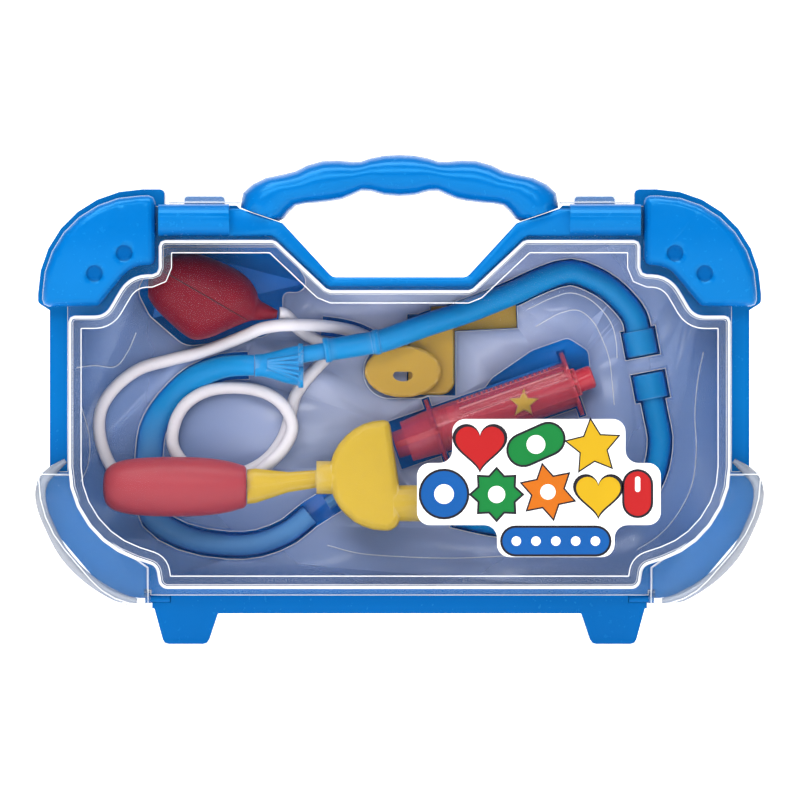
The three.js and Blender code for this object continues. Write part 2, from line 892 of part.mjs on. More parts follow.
function otoscopeHead() {
  const half = otoHeadThickness / 2;
  const edge = otoHeadEdge;
  const corners = otoHeadShares.map(([u, v, r]) => [
    otoHeadX + u * otoHeadWidth, otoHeadBase + v * otoHeadHeight, r * otoHeadWidth,
  ]).reverse();
  const head = plate(corners, [
    [-half, edge], [-half + edge / 3, edge / 3], [-half + edge, 0],
    [half - edge, 0], [half - edge / 3, edge / 3], [half, edge],
  ]);
  const collarZ = otoCollarZ;
  const collarLength = otoCollarWidth + otoHeadEdge;
  const collar = moved(rod(collarLength, otoCollarHeight / 2), otoHeadX - otoCollarWidth, 0, collarZ);
  const neckStart = otoGripX + otoGripLength + gap;
  const neckRun = otoHeadX - neckStart;
  const neckRings = otoNeckShares.map(([u, r]) => Array.from({ length: tubeSides }, (_, i) => {
    const turn = (i / tubeSides) * fullTurn;
    const radius = r * otoGripRadius;
    return new THREE.Vector3(
      neckStart + u * neckRun,
      radius * Math.sin(turn) * otoNeckFlatness,
      otoZ + u * (collarZ - otoZ) + radius * Math.cos(turn),
    );
  }));
  const spoutStart = otoHeadX + otoHeadWidth / 2;
  const spout = moved(rod(otoSpoutX - spoutStart, otoSpoutRadius), spoutStart, 0, otoSpoutZ);
  return join(loft(neckRings), collar, head, spout);
}

function speculum() {
  const profile = [
    [0, speculumBore], [0, otoSpoutRadius], [speculumCuff, otoSpoutRadius],
    [speculumLength, speculumTip], [speculumLength, speculumBore], [0, speculumBore],
  ];
  return moved(turned(profile), otoSpoutX + gap, 0, otoSpoutZ);
}

// Syringe

const syringeY = 2.5;
const syringeStart = -hubLength - nozzleLength;
const syringeEnd = barrelLength + fingerFlangeWidth;

function syringeBarrel() {
  const flat = fingerFlangeWidth;
  const outside = turned([
    [syringeStart, 0], [syringeStart, nozzleRadius], [-hubLength, nozzleRootRadius],
    [-hubLength, barrelRadius - edgeRound], [0, barrelRadius],
    [0, fingerFlangeRadius], [flat, fingerFlangeRadius],
    [flat, barrelRadius], [barrelLength, barrelRadius], [barrelLength, fingerFlangeRadius],
    [barrelLength + flat, fingerFlangeRadius], [barrelLength + flat, 0],
  ], discSides);
  const bore = moved(rod(barrelLength + overrun, boreRadius, discSides), flat, 0, 0);
  const outlet = moved(rod(2 * overrun - syringeStart, nozzleBore, tubeSides), syringeStart - overrun, 0, 0);
  return cut(outside, bore, outlet);
}

function syringePlunger() {
  const start = fingerFlangeWidth + pistonStart + sealLength + gap;
  const end = barrelLength + fingerFlangeWidth;
  const piston = moved(rod(pistonLength, boreRadius - gap), start, 0, 0);
  const teeth = Math.floor((end - start - pistonLength) / rackPitch);
  const half = rodHalf;
  const rackTop = [];
  for (let tooth = teeth; tooth > 0; tooth -= 1) {
    const x = start + pistonLength + tooth * rackPitch;
    rackTop.push([x, half, 0], [x - rackPitch / 2, half + rackDepth, 0]);
  }
  const rack = slab([
    ...rackTop, [start + pistonLength - gap, half, 0], [start + pistonLength - gap, -half, 0],
    [end + overrun, -half, 0], [end + overrun, half, 0],
  ], -rodThickness / 2, rodThickness / 2);
  const web = box(start + gap, end + overrun, -half, half, -rodThickness / 2, rodThickness / 2);
  const knob = moved(turned([
    [0, 0], [0, knobRadius + knobLip], [knobLipWidth, knobRadius + knobLip], [knobLipWidth, knobRadius],
    [knobLength - edgeRound, knobRadius], [knobLength, knobRadius - edgeRound], [knobLength, 0],
  ]), end + gap, 0, 0);
  return join(piston, rack, web, knob);
}

function plungerSeal() {
  const profile = [
    [0, 0], [-sealDome, boreRadius / 2], [0, boreRadius - gap],
    [sealLength, boreRadius - gap], [sealLength, 0],
  ];
  return moved(turned(profile), fingerFlangeWidth + pistonStart, 0, 0);
}

// Stethoscope

const forkShares = [[0, 0], [0.2, 0.06], [0.45, 0.34], [0.7, 0.72], [1, 1]];
const forkRibPlaces = [[-0.1, -0.66], [-0.04, -0.42], [0.04, -0.14], [0.14, 0.16], [0.22, 0.46]];
const chestShares = [[0, 0], [0, 0.5], [0.3, 0.86], [0.55, 1]];
const upperTubePlaces = [
  [-9.2, -1.4, 141.9], [11.9, 2.6, 149.4], [32.9, 7, 156.4], [54, 11, 164.9], [68, 14, 171.4],
  [80.6, 16.5, 174.7], [90.9, 17.5, 171.4], [98.9, 17.5, 166.7], [105.4, 17.5, 160.6],
  [109.4, 17.5, 155.6], [111.3, 17.5, 151.6],
  [112.3, 17.5, 146.4],
];
const lowerTubePlaces = [
  [118.9, 17.5, 116.2], [120.7, 17.5, 107], [122.6, 17.5, 97], [122, 17.5, 88], [119.6, 17.5, 79],
  [114.6, 17.5, 70],
  [106.6, 17.5, 62.8], [95, 17.5, 58], [79.7, 17.5, 55.4], [61, 17.5, 54.5], [42.3, 17.5, 56.4],
  [25.9, 17.5, 60.1],
];
const hosePlaces = [
  [-68.3, -1.8, 130.7], [-72, -1.8, 130.7], [-83.1, 3.4, 129.8], [-96.2, 10.2, 124.7],
  [-104.6, 14.5, 117.6], [-112.1, 15.4, 108.7],
  [-116.3, 15.4, 100.3], [-117.6, 15.4, 91.9], [-118.2, 15.4, 81.6], [-118.2, 15.4, 69.9], [-115.6, 15.4, 59],
  [-102.2, 15.4, 50.2], [-80.7, 15.4, 46.1], [-66.2, 15.4, 47], [-52.2, 15.4, 52.6], [-42.5, 15.4, 60.4],
];

// A round bar from one end to the other whose ends both lie square to X.
function levelBar([fromX, fromY, fromZ], [toX, toY, toZ], fromRadius, toRadius, sides) {
  const rings = [[fromX, fromY, fromZ, fromRadius], [toX, toY, toZ, toRadius]];
  return loft(rings.map(([x, y, z, radius]) => Array.from({ length: sides }, (_, i) => {
    const turn = (i / sides) * fullTurn;
    return new THREE.Vector3(x, y + radius * Math.sin(turn), z + radius * Math.cos(turn));
  })));
}

// The fork widens from the hose to a mouth with two round sockets, and ribs run out to each
function stethoscopeFork() {
  const rimX = forkEndX - forkLipWidth;
  const mouthTop = forkUpperZ + forkSocketRadius - forkRibRadius;
  const mouthBase = forkLowerZ - forkLowerRadius + forkRibRadius;
  const mouthZ = (mouthTop + mouthBase) / 2;
  const mouthHalf = (mouthTop - mouthBase) / 2;
  const wedge = loft(forkShares.map(([u, v]) => {
    const half = THREE.MathUtils.lerp(forkRadius, mouthHalf, v);
    const depth = THREE.MathUtils.lerp(forkRadius, forkMouthDepth, v);
    const x = THREE.MathUtils.lerp(forkStartX, rimX + gap, u);
    const z = THREE.MathUtils.lerp(forkZ, mouthZ, v);
    return Array.from({ length: roundSides }, (_, i) => {
      const turn = (i / roundSides) * fullTurn;
      return new THREE.Vector3(x, forkY + depth * Math.sin(turn), z + half * Math.cos(turn));
    });
  }));
  const branches = [[forkUpperZ, forkSocketRadius], [forkLowerZ, forkLowerRadius]];
  const rims = branches.map(([z, radius]) => (
    levelBar([rimX, forkY, z], [forkEndX, forkY, z], radius, radius, roundSides)
  ));
  const ribs = forkRibPlaces.map(([startV, endV]) => levelBar(
    [forkRibX, forkY - forkRadius, forkZ + startV * mouthHalf],
    [rimX + gap, forkY - forkMouthDepth, mouthZ + endV * mouthHalf],
    forkRibRadius, forkRibRadius, tubeSides,
  ));
  const neckEnd = [sleeveStartX + neckReach, forkY, sleeveZ];
  const neck = levelBar([rimX, forkY, forkUpperZ], neckEnd, neckRadius, neckRadius, roundSides);
  return join(wedge, ...rims, ...ribs, neck);
}

function stethoscopeHose() {
  return tube(hosePlaces, hoseStartHalf, hoseHalfDepth, hoseSteps, hoseEndHalf);
}

function lowerEarTube() {
  return tube(lowerTubePlaces, lowerTubeRadius, lowerTubeRadius, lowerTubeSteps);
}

function upperEarTube() {
  const run = sleeveEndX - sleeveStartX;
  const rise = sleeveEndZ - sleeveZ;
  const length = Math.hypot(run, rise);
  const sleeve = turned([
    [0, 0], [0, ringRadius], [ringWidth, ringRadius], [ringWidth, sleeveRadius],
    [length - ringWidth, sleeveRadius], [length - ringWidth, ringRadius], [length, ringRadius], [length, 0],
  ]);
  const socket = moved(rod(neckSocketDepth + overrun, neckRadius + 2 * gap), -overrun, 0, 0);
  const body = placed(cut(sleeve, socket), Math.atan2(rise, run), sleeveStartX, forkY, sleeveZ);
  return join(body, tube(upperTubePlaces, earTubeRadius, earTubeRadius, upperTubeSteps));
}

// side says which end of the tip the tube goes into: 1 for the upper end, -1 for the lower end.
function earTip([x, z], side) {
  const half = earTipLength / 2;
  const narrow = earTipRadius - tipEdge;
  const socket = earTubeRadius + gap;
  const profile = [
    [-half, 0], [-half, narrow], [-half + tipEdge, earTipRadius],
    [half - tipEdge, earTipRadius], [half, narrow],
    [half, socket], [half - tipSocketDepth, socket], [half - tipSocketDepth, 0],
  ];
  const lean = side > 0 ? rightAngle + tipLean : tipLean - rightAngle;
  return placed(turned(profile), lean, x, earTubeY, z);
}

// The dish opens to the back, where the diaphragm closes it.
function chestPiece() {
  const front = hoseY - chestDepth / 2;
  const seat = chestDepth - diaphragmDepth - gap;
  const recess = diaphragmRadius + gap;
  const profile = [
    ...chestShares.map(([s, r]) => [s * chestDepth, r * chestRadius]),
    [chestDepth, chestRadius], [chestDepth, recess], [seat, recess], [seat, 0],
  ];
  const disc = solid(new THREE.LatheGeometry(profile.map(([s, r]) => new THREE.Vector2(r, s)), discSides));
  const dish = moved(disc, chestX, front, chestZ);
  const shaft = rod(chestStem, stemRadius, tubeSides);
  const stem = placed(shaft, Math.PI + stemAngle * degree, stemX, hoseY, stemZ);
  return join(dish, stem);
}

function chestDiaphragm() {
  const disc = new THREE.CylinderGeometry(diaphragmRadius, diaphragmRadius, diaphragmDepth, discSides);
  return moved(solid(disc), chestX, hoseY + chestDepth / 2 - diaphragmDepth / 2, chestZ);
}

// Pump

const bulbTopShares = [
  [0.005, 0.71], [0.07, 0.885], [0.16, 0.985], [0.33, 1], [0.415, 0.985], [0.575, 0.894],
  [0.7, 0.798], [0.79, 0.682], [0.838, 0.557], [0.856, 0.473], [0.93, 0.4], [1, 0.345],
];
const bulbBottomShares = [
  [0, 0.5], [0.045, 0.39], [0.15, 0.227], [0.28, 0.059], [0.355, 0.005], [0.487, 0.034],
  [0.618, 0.121], [0.716, 0.182], [0.782, 0.219], [0.831, 0.229], [0.913, 0.236], [0.992, 0.249],
];
const bulbDepthShares = [0.4, 0.66, 0.86, 0.96, 1, 0.98, 0.9, 0.74, 0.55, 0.36, 0.2, 0.14];

const pumpHosePlaces = [
  [-56.5, -0.9, 155.2], [-54.8, -0.6, 155], [-51.8, 2, 152.8], [-49, 5, 149.4], [-45.2, 7.4, 146],
  [-40, 7.8, 143], [-34.4, 7.8, 138.8], [-34.6, 7.8, 134.8], [-38.6, 7.8, 130], [-44.8, 7.8, 123],
  [-49.4, 7.8, 115.5], [-51.6, 7.8, 106.4], [-54.8, 7.8, 96.6], [-62.6, 7.8, 86.4], [-74.6, 7.8, 79.9],
  [-88.6, 7.8, 78.4], [-100, 7.8, 83.4], [-106.4, 7.8, 92.4], [-106, 7.8, 102.6], [-101, 7.8, 112],
  [-91, 7.8, 118.4], [-76.4, 7.4, 120.2], [-62.4, 5, 117.4], [-53.8, 1.6, 110.6], [-50.4, 1.2, 101.6],
  [-54, 1.2, 92.4], [-63, 1.4, 83], [-70.5, 2.6, 76.2], [-80.5, 6.6, 69.2], [-96, 7.8, 67.6],
  [-114, 7.8, 68.8], [-129.4, 7.8, 75], [-137.4, 7.8, 86.3], [-141.2, 7.8, 99.4], [-140.4, 7.8, 109.7],
  [-134.6, 7.8, 119.4], [-122.6, 7.8, 128.8], [-108, 7.8, 133.2], [-95.2, 7.6, 136.4], [-84, 5.6, 140.1],
  [-73.2, 1.2, 144.4], [-64.6, -3, 148], [-57, -4.4, 149.3], [-51, -4.2, 149.6], [-43.5, -1.2, 149.6],
  [-35.7, 3.8, 149.2], [-28, 8.4, 148.2], [-20, 13.2, 146.2], [-13.6, 16, 143.2], [-9.4, 16.2, 141.4],
  [-5.4, 16.2, 141],
];

function pumpBulb() {
  const rings = bulbTopShares.map(([tu, tv], i) => {
    const [bu, bv] = bulbBottomShares[i];
    const top = [bulbX + tu * bulbLength, bulbBase + tv * bulbHeight];
    const bottom = [bulbX + bu * bulbLength, bulbBase + bv * bulbHeight];
    return Array.from({ length: bulbSides }, (_, k) => {
      const turn = (k / bulbSides) * fullTurn;
      return new THREE.Vector3(
        (top[0] + bottom[0]) / 2 + ((top[0] - bottom[0]) / 2) * Math.cos(turn),
        bulbY + bulbDepthShares[i] * bulbDepthRadius * Math.sin(turn),
        (top[1] + bottom[1]) / 2 + ((top[1] - bottom[1]) / 2) * Math.cos(turn),
      );
    });
  });
  return loft(rings);
}

function pumpHose() {
  return tube(pumpHosePlaces, pumpHoseRadius, pumpHoseRadius, pumpHoseSteps);
}

function hosePlug() {
  const profile = [
    [0, 0], [0, pumpHoseRadius], [plugShoulder, plugRadius], [plugLength, plugRadius], [plugLength, 0],
  ];
  return moved(turned(profile), bracketX - bracketWidth / 2 - gap - plugLength, plugY, plugZ);
}

function oval(halfWidth, halfHeight, z, top = 1) {
  return Array.from({ length: discSides }, (_, i) => {
    const turn = (i / discSides) * fullTurn;
    return [dialX + halfWidth * Math.cos(turn), z + halfHeight * Math.min(Math.sin(turn), top), 0];
  });
}

// The window in the dial is an oval with a flat top
function gaugeDial() {
  const back = dialFront + dialThickness;
  const dish = plate(oval(dialHalfWidth, dialHalfHeight, dialZ), [
    [dialFront, edgeRound], [dialFront + edgeRound, 0], [back, 0],
  ]);
  const hole = oval(dialHoleHalf, dialHoleHeight, dialZ - dialHoleDrop, dialHoleFlat);
  return cut(dish, slab(hole, dialFront - overrun, back + overrun));
}

const bracketFront = dialFront + dialThickness + gap;

function strapOutline(ease) {
  const angle = strapAngle * degree;
  const x = bracketX + (strapLength / 2) * Math.cos(angle);
  const z = bracketZ + strapRise - strapWidth / 2 + (strapLength / 2) * Math.sin(angle);
  return rectangle(strapLength + ease, strapWidth + ease, 0, x, z, angle);
}

function gaugeBracket() {
  const back = bracketFront + bracketThickness;
  const block = plate(
    rectangle(bracketWidth, bracketHeight, bracketRadius, bracketX, bracketZ),
    [[bracketFront, edgeRound], [bracketFront + edgeRound, 0], [back, 0]],
  );
  return join(block, slab(strapOutline(0), back - strapThickness, back));
}

// Tray: a sheet with a pocket for each toy

// A pocket is an outline and the depth of its floor.
function pocket(corners, floor) {
  return { corners, floor };
}

// A channel along a row of points, a little longer than the row at both ends.
function channel(places, half, floor) {
  const path = curveThrough(places).getPoints(2 * (places.length - 1));
  const points = path.map(({ x, z }) => new THREE.Vector2(x, z));
  const runOut = (end, next) => end.clone().add(end.clone().sub(next).setLength(pocketEase));
  points.unshift(runOut(points[0], points[1]));
  points.push(runOut(points.at(-1), points.at(-2)));
  const side = (sign) => points.map((point, i) => {
    const before = points[Math.max(i - 1, 0)];
    const after = points[Math.min(i + 1, points.length - 1)];
    const along = after.clone().sub(before).normalize();
    return [point.x - sign * along.y * half, point.y + sign * along.x * half, 0];
  });
  return pocket([...side(-1), ...side(1).reverse()], floor);
}

const syringeTurn = syringeAngle * degree;

function acrossSyringe(from, to, half, floor) {
  const middle = (from + to) / 2;
  const width = to - from + 2 * pocketEase;
  const x = syringeX + middle * Math.cos(syringeTurn);
  const z = syringeZ + middle * Math.sin(syringeTurn);
  return pocket(rectangle(width, 2 * (half + pocketEase), 0, x, z, syringeTurn), floor);
}

function tipPocket([x, z]) {
  const size = 2 * pocketEase;
  return pocket(
    rectangle(2 * earTipRadius + size, earTipLength + size, 0, x, z, tipLean),
    earTubeY + earTipRadius + gap,
  );
}

const barrelFloor = syringeY + barrelRadius + gap;
const fingerFlangeFloor = syringeY + fingerFlangeRadius + gap;
const bracketBack = bracketFront + bracketThickness;
const plugPlace = [bracketX - bracketWidth / 2, plugY, plugZ];

// The bulb's pocket runs up and right past the bulb, as far as the tray's clear corner
const bulbPocketCorners = [
  [-123.8, 166, 8], [-117.6, 154, 8], [-101, 139.6, 10], [-64, 144, 8], [-55, 150, 3], [-55, 165.4, 3],
  [-40, 164.2, 5], [-53, 186.4, 3], [-112, 186.4, 8],
];

// Room over the syringe for the fingers that lift it: along the barrel, up from its axis, radius
const syringeRoomCorners = [
  [12, 0, 0], [78, 0, 0], [81, 12, 4], [74, 21, 5], [56, 21, 8], [34, 15, 8],
];

function besideSyringe([along, up, radius]) {
  return [
    syringeX + along * Math.cos(syringeTurn) - up * Math.sin(syringeTurn),
    syringeZ + along * Math.sin(syringeTurn) + up * Math.cos(syringeTurn),
    radius,
  ];
}

const pockets = [
  pocket(bulbPocketCorners, bulbY + bulbDepthRadius + gap),
  pocket(syringeRoomCorners.map(besideSyringe), barrelFloor),
  acrossSyringe(syringeStart, syringeEnd, barrelRadius, barrelFloor),
  acrossSyringe(0, fingerFlangeWidth, fingerFlangeRadius, fingerFlangeFloor),
  acrossSyringe(barrelLength, syringeEnd, fingerFlangeRadius, fingerFlangeFloor),
  channel(upperTubePlaces.slice(1, 4), earTubeRadius + pocketEase, tubeShallowY + earTubeRadius + gap),
  channel(upperTubePlaces.slice(3), earTubeRadius + pocketEase, earTubeY + earTubeRadius + gap),
  tipPocket(upperTip),
  tipPocket(lowerTip),
  channel(lowerTubePlaces, lowerTubeRadius + pocketEase, earTubeY + lowerTubeRadius + gap),
  channel(
    [...hosePlaces.slice(1), [chestX, hoseY, chestZ]],
    hoseStartHalf + pocketEase,
    hoseY + hoseHalfDepth + gap,
  ),
  pocket(rectangle(chestPocket, chestPocket, chestPocket / 2, chestX, chestZ), hoseY + chestDepth / 2 + gap),
  pocket(
    rectangle(bracketWidth + pocketEase, bracketHeight + pocketEase, 0, bracketX, bracketZ),
    bracketBack + gap,
  ),
  pocket(strapOutline(pocketEase), bracketBack + gap),
  pocket(
    rectangle(2 * dialHalfWidth + pocketEase, 2 * dialHalfHeight + pocketEase, dialHalfHeight, dialX, dialZ),
    dialFront + dialThickness + gap,
  ),
  channel([...pumpHosePlaces.slice(-6), plugPlace], plugRadius + pocketEase, plugY + plugRadius + gap),
];

const trayCorners = bothHalves(shellCorners.filter(([x, z]) => x < 0 && z > earBottom));

function insertTray() {
  const plateau = slab(trayCorners, trayFace, trayFace + sheet, wall + gap);
  const tubs = pockets.map(({ corners, floor }) => slab(corners, trayFace, floor + sheet, -sheet));
  const hollows = pockets.map(({ corners, floor }) => slab(corners, trayFace - overrun, floor));
  return cut(join(plateau, ...tubs), ...hollows);
}

// Assembly

function piece(name, body, material) {
  const geometry = geometryOf(body);
  geometry.computeVertexNormals();
  const mesh = new THREE.Mesh(geometry, material);
  mesh.name = name;
  return mesh;
}

const rearHalf = new THREE.Group();
rearHalf.add(
  piece('rear_shell', rearShell(), plastic(colours.blue)),
  piece('handle_grip_rear', aboveSeam(gripHalfSolid(partingY + gap, gripRearDepth)), plastic(colours.blue)),
  piece('hinge_pin_left', hingePin(-1), plastic(colours.blue)),
  piece('hinge_pin_right', hingePin(1), plastic(colours.blue)),
  piece('insert_tray', insertTray(), clearPlastic(colours.clear, 0.35)),
);

const frontHalf = new THREE.Group();
frontHalf.add(
  piece('lid_window', lidWindow(), clearPlastic(colours.clear, 0.25)),
  piece('front_trim', frontTrim(), plastic(colours.blue)),
  piece('handle_grip_front', aboveSeam(gripHalfSolid(partingY, -gripFrontDepth)), plastic(colours.blue)),
  piece('corner_cap_left', cornerCap(-1), plastic(colours.blue)),
  piece('corner_cap_right', cornerCap(1), plastic(colours.blue)),
  piece('lid_sticker', lidLabel(), plastic(colours.label, 0.45)),
  piece('latch_clasp_left', clasp(-1), clearPlastic(colours.clear, 0.35)),
  piece('latch_clasp_right', clasp(1), clearPlastic(colours.clear, 0.35)),
);

const otoscope = new THREE.Group();
otoscope.position.y = otoY;
otoscope.add(
  piece('otoscope_grip', otoscopeGrip(), plastic(colours.red)),
  piece('otoscope_head', otoscopeHead(), plastic(colours.yellow)),
  piece('otoscope_speculum', speculum(), plastic(colours.yellow)),
);

const syringe = new THREE.Group();
syringe.position.set(syringeX, syringeY, syringeZ);
syringe.rotation.y = -syringeTurn;
syringe.add(
  piece('syringe_barrel', syringeBarrel(), plastic(colours.red)),
  piece('syringe_plunger', syringePlunger(), plastic(colours.red)),
  piece('plunger_seal', plungerSeal(), plastic(colours.darkRed, 0.5)),
);

const stethoscope = new THREE.Group();
stethoscope.add(
  piece('stethoscope_fork', stethoscopeFork(), plastic(colours.softBlue)),
  piece('ear_tube_upper', upperEarTube(), plastic(colours.softBlue)),
  piece('ear_tip_upper', earTip(upperTip, 1), plastic(colours.softBlue)),
  piece('ear_tube_lower', lowerEarTube(), plastic(colours.softBlue)),
  piece('ear_tip_lower', earTip(lowerTip, -1), plastic(colours.softBlue)),
  piece('stethoscope_hose', stethoscopeHose(), plastic(colours.softBlue, 0.45)),
  piece('chest_piece', chestPiece(), plastic(colours.softBlue)),
  piece('chest_diaphragm', chestDiaphragm(), plastic(colours.white)),
);

const pump = new THREE.Group();
pump.add(
  piece('pump_bulb', pumpBulb(), plastic(colours.darkRed, 0.45)),
  piece('pump_hose', pumpHose(), plastic(colours.white, 0.4)),
  piece('pump_hose_plug', hosePlug(), plastic(colours.white)),
  piece('gauge_dial', gaugeDial(), plastic(colours.yellow)),
  piece('gauge_bracket', gaugeBracket(), plastic(colours.yellow)),
);

const part = new THREE.Group();
part.add(rearHalf, frontHalf, otoscope, syringe, stethoscope, pump);

export default part;
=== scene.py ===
import math

import bmesh
import bpy
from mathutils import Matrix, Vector


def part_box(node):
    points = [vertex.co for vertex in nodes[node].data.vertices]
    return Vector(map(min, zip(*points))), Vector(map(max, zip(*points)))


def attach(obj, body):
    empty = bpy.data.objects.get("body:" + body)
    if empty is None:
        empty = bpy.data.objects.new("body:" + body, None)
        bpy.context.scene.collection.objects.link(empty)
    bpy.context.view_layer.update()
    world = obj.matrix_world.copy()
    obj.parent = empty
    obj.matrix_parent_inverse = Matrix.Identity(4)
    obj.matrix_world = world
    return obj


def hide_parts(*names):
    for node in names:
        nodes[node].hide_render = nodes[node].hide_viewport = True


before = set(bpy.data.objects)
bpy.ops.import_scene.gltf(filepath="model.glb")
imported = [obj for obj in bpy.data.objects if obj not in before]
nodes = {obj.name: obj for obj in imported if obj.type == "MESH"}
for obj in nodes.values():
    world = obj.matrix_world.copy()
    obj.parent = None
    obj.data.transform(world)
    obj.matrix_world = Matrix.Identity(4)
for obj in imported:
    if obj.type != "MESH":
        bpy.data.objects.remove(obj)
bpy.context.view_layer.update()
scene = bpy.context.scene
MM = 0.001
QUARTER = math.pi / 2
FULL_TURN = 2 * math.pi


# Camera, first: the photograph looks straight at the front from far away

CAMERA_PLACE = (0.0002, -8.0, 0.1144)
LENS = 766.0
SENSOR = 36
VIEW_DEPTH = 60


def studio_camera():
    data = bpy.data.cameras.new("camera")
    camera = bpy.data.objects.new("camera", data)
    scene.collection.objects.link(camera)
    camera.location = CAMERA_PLACE
    camera.rotation_euler = (QUARTER, 0, 0)
    data.sensor_width = SENSOR
    data.lens = LENS
    data.clip_end = VIEW_DEPTH
    scene.camera = camera


studio_camera()


# Colours and materials

TOE_END, TOE_SLOPE, CURVE_LIFT, CURVE_POWER = 0.04045, 12.92, 0.055, 2.4


def linear(red, green, blue):
    """A linear colour from 8-bit display values."""
    out = []
    for value in (red, green, blue):
        share = value / 255
        curved = ((share + CURVE_LIFT) / (1 + CURVE_LIFT)) ** CURVE_POWER
        out.append(share / TOE_SLOPE if share <= TOE_END else curved)
    return (*out, 1.0)


def tinted(colour, factor):
    return tuple(min(value * factor, 1.0) for value in colour[:3]) + (1.0,)


BLUE = linear(0, 96, 168)
# Painted shade: the case's lower half takes this darker blue, as if the light came from above.
SHADED_LOWER_BLUE = linear(0, 84, 156)
SOFT_BLUE = linear(4, 126, 188)
HAZED_BLUE = linear(72, 124, 178)
HAZE = linear(210, 218, 250)
OUTER_HAZE = linear(110, 148, 212)
RED = linear(196, 44, 56)
GRIP_RED = linear(148, 54, 60)
BULB_RED = linear(110, 4, 18)
YELLOW = linear(180, 150, 40)
MUSTARD = linear(184, 146, 52)
WHITE = linear(206, 202, 208)
COOL_SHEEN = linear(96, 216, 255)

# Noise stays mostly between these two
NOISE_LOW, NOISE_HIGH = 0.3, 0.7
# Heights in metres between which the lower colour fades in
LOW_FROM, LOW_TO = 0.088, 0.112
# Moulded plastic: depth in metres, the rest in node units or shares
EDGE_TURN_FROM, EDGE_TURN_TO = 0.86, 0.99
CLOUD_SCALE, CLOUD_DETAIL, CLOUD_DARK, CLOUD_PALE = 14.0, 4.0, 0.93, 1.05
SKIN_DETAIL, SKIN_GLOSSY, SKIN_DULL, SKIN_DEPTH = 2.0, 0.04, 0.06, 0.0003
BEVEL_SAMPLES = 4
PLASTIC_IOR = 1.5
COAT_ROUGHNESS = 0.08
# Clear plastic, in the same units; the first two rows place the change of the tray's haze
MIDDLE_SHIFT, MIDDLE_SCALE = (0, 0, -0.98), (6.6, 0, 7.6)
MIDDLE_FROM, MIDDLE_TO = 0.25, 1.05
FLOW_DETAIL, FLOW_DULL, FLOW_DEPTH, FLOW_DARK, FLOW_PALE = 2.0, 0.08, 0.004, 0.9, 1.06


def new_material(name):
    material = bpy.data.materials.new(name)
    material.use_nodes = True
    tree = material.node_tree
    return material, tree, tree.nodes["Principled BSDF"]


def noise(tree, scale, detail=3.0):
    coordinates = tree.nodes.new("ShaderNodeTexCoord")
    texture = tree.nodes.new("ShaderNodeTexNoise")
    texture.inputs["Scale"].default_value = scale
    texture.inputs["Detail"].default_value = detail
    tree.links.new(coordinates.outputs["Object"], texture.inputs["Vector"])
    return texture.outputs["Fac"]


def spread(tree, source, low, high, start=NOISE_LOW, end=NOISE_HIGH):
    """Maps source from start..end to low..high."""
    remap = tree.nodes.new("ShaderNodeMapRange")
    for socket, value in (("From Min", start), ("From Max", end), ("To Min", low), ("To Max", high)):
        remap.inputs[socket].default_value = value
    tree.links.new(source, remap.inputs["Value"])
    return remap.outputs["Result"]


def colour_blend(tree, factor, first, second):
    mix = tree.nodes.new("ShaderNodeMix")
    mix.data_type = "RGBA"
    tree.links.new(factor, mix.inputs["Factor"])
    for socket, value in (("A", first), ("B", second)):
        if isinstance(value, tuple):
            mix.inputs[socket].default_value = value
        else:
            tree.links.new(value, mix.inputs[socket])
    return mix.outputs["Result"]


def edge_highlight_mask(tree, rounded):
    """0 on flat skin, 1 where the softened edge turns away from the face; there the colour is lightened as
    a painted highlight.
    """
    geometry = tree.nodes.new("ShaderNodeNewGeometry")
    turn = tree.nodes.new("ShaderNodeVectorMath")
    turn.operation = "DOT_PRODUCT"
    tree.links.new(geometry.outputs["True Normal"], turn.inputs[0])
    tree.links.new(rounded, turn.inputs[1])
    return spread(tree, turn.outputs["Value"], 1.0, 0.0, EDGE_TURN_FROM, EDGE_TURN_TO)


def low_down(tree):
    """1 on the lower half of the case, 0 on the upper."""
    coordinates = tree.nodes.new("ShaderNodeTexCoord")
    axes = tree.nodes.new("ShaderNodeSeparateXYZ")
    tree.links.new(coordinates.outputs["Object"], axes.inputs["Vector"])
    return spread(tree, axes.outputs["Z"], 1.0, 0.0, LOW_FROM, LOW_TO)


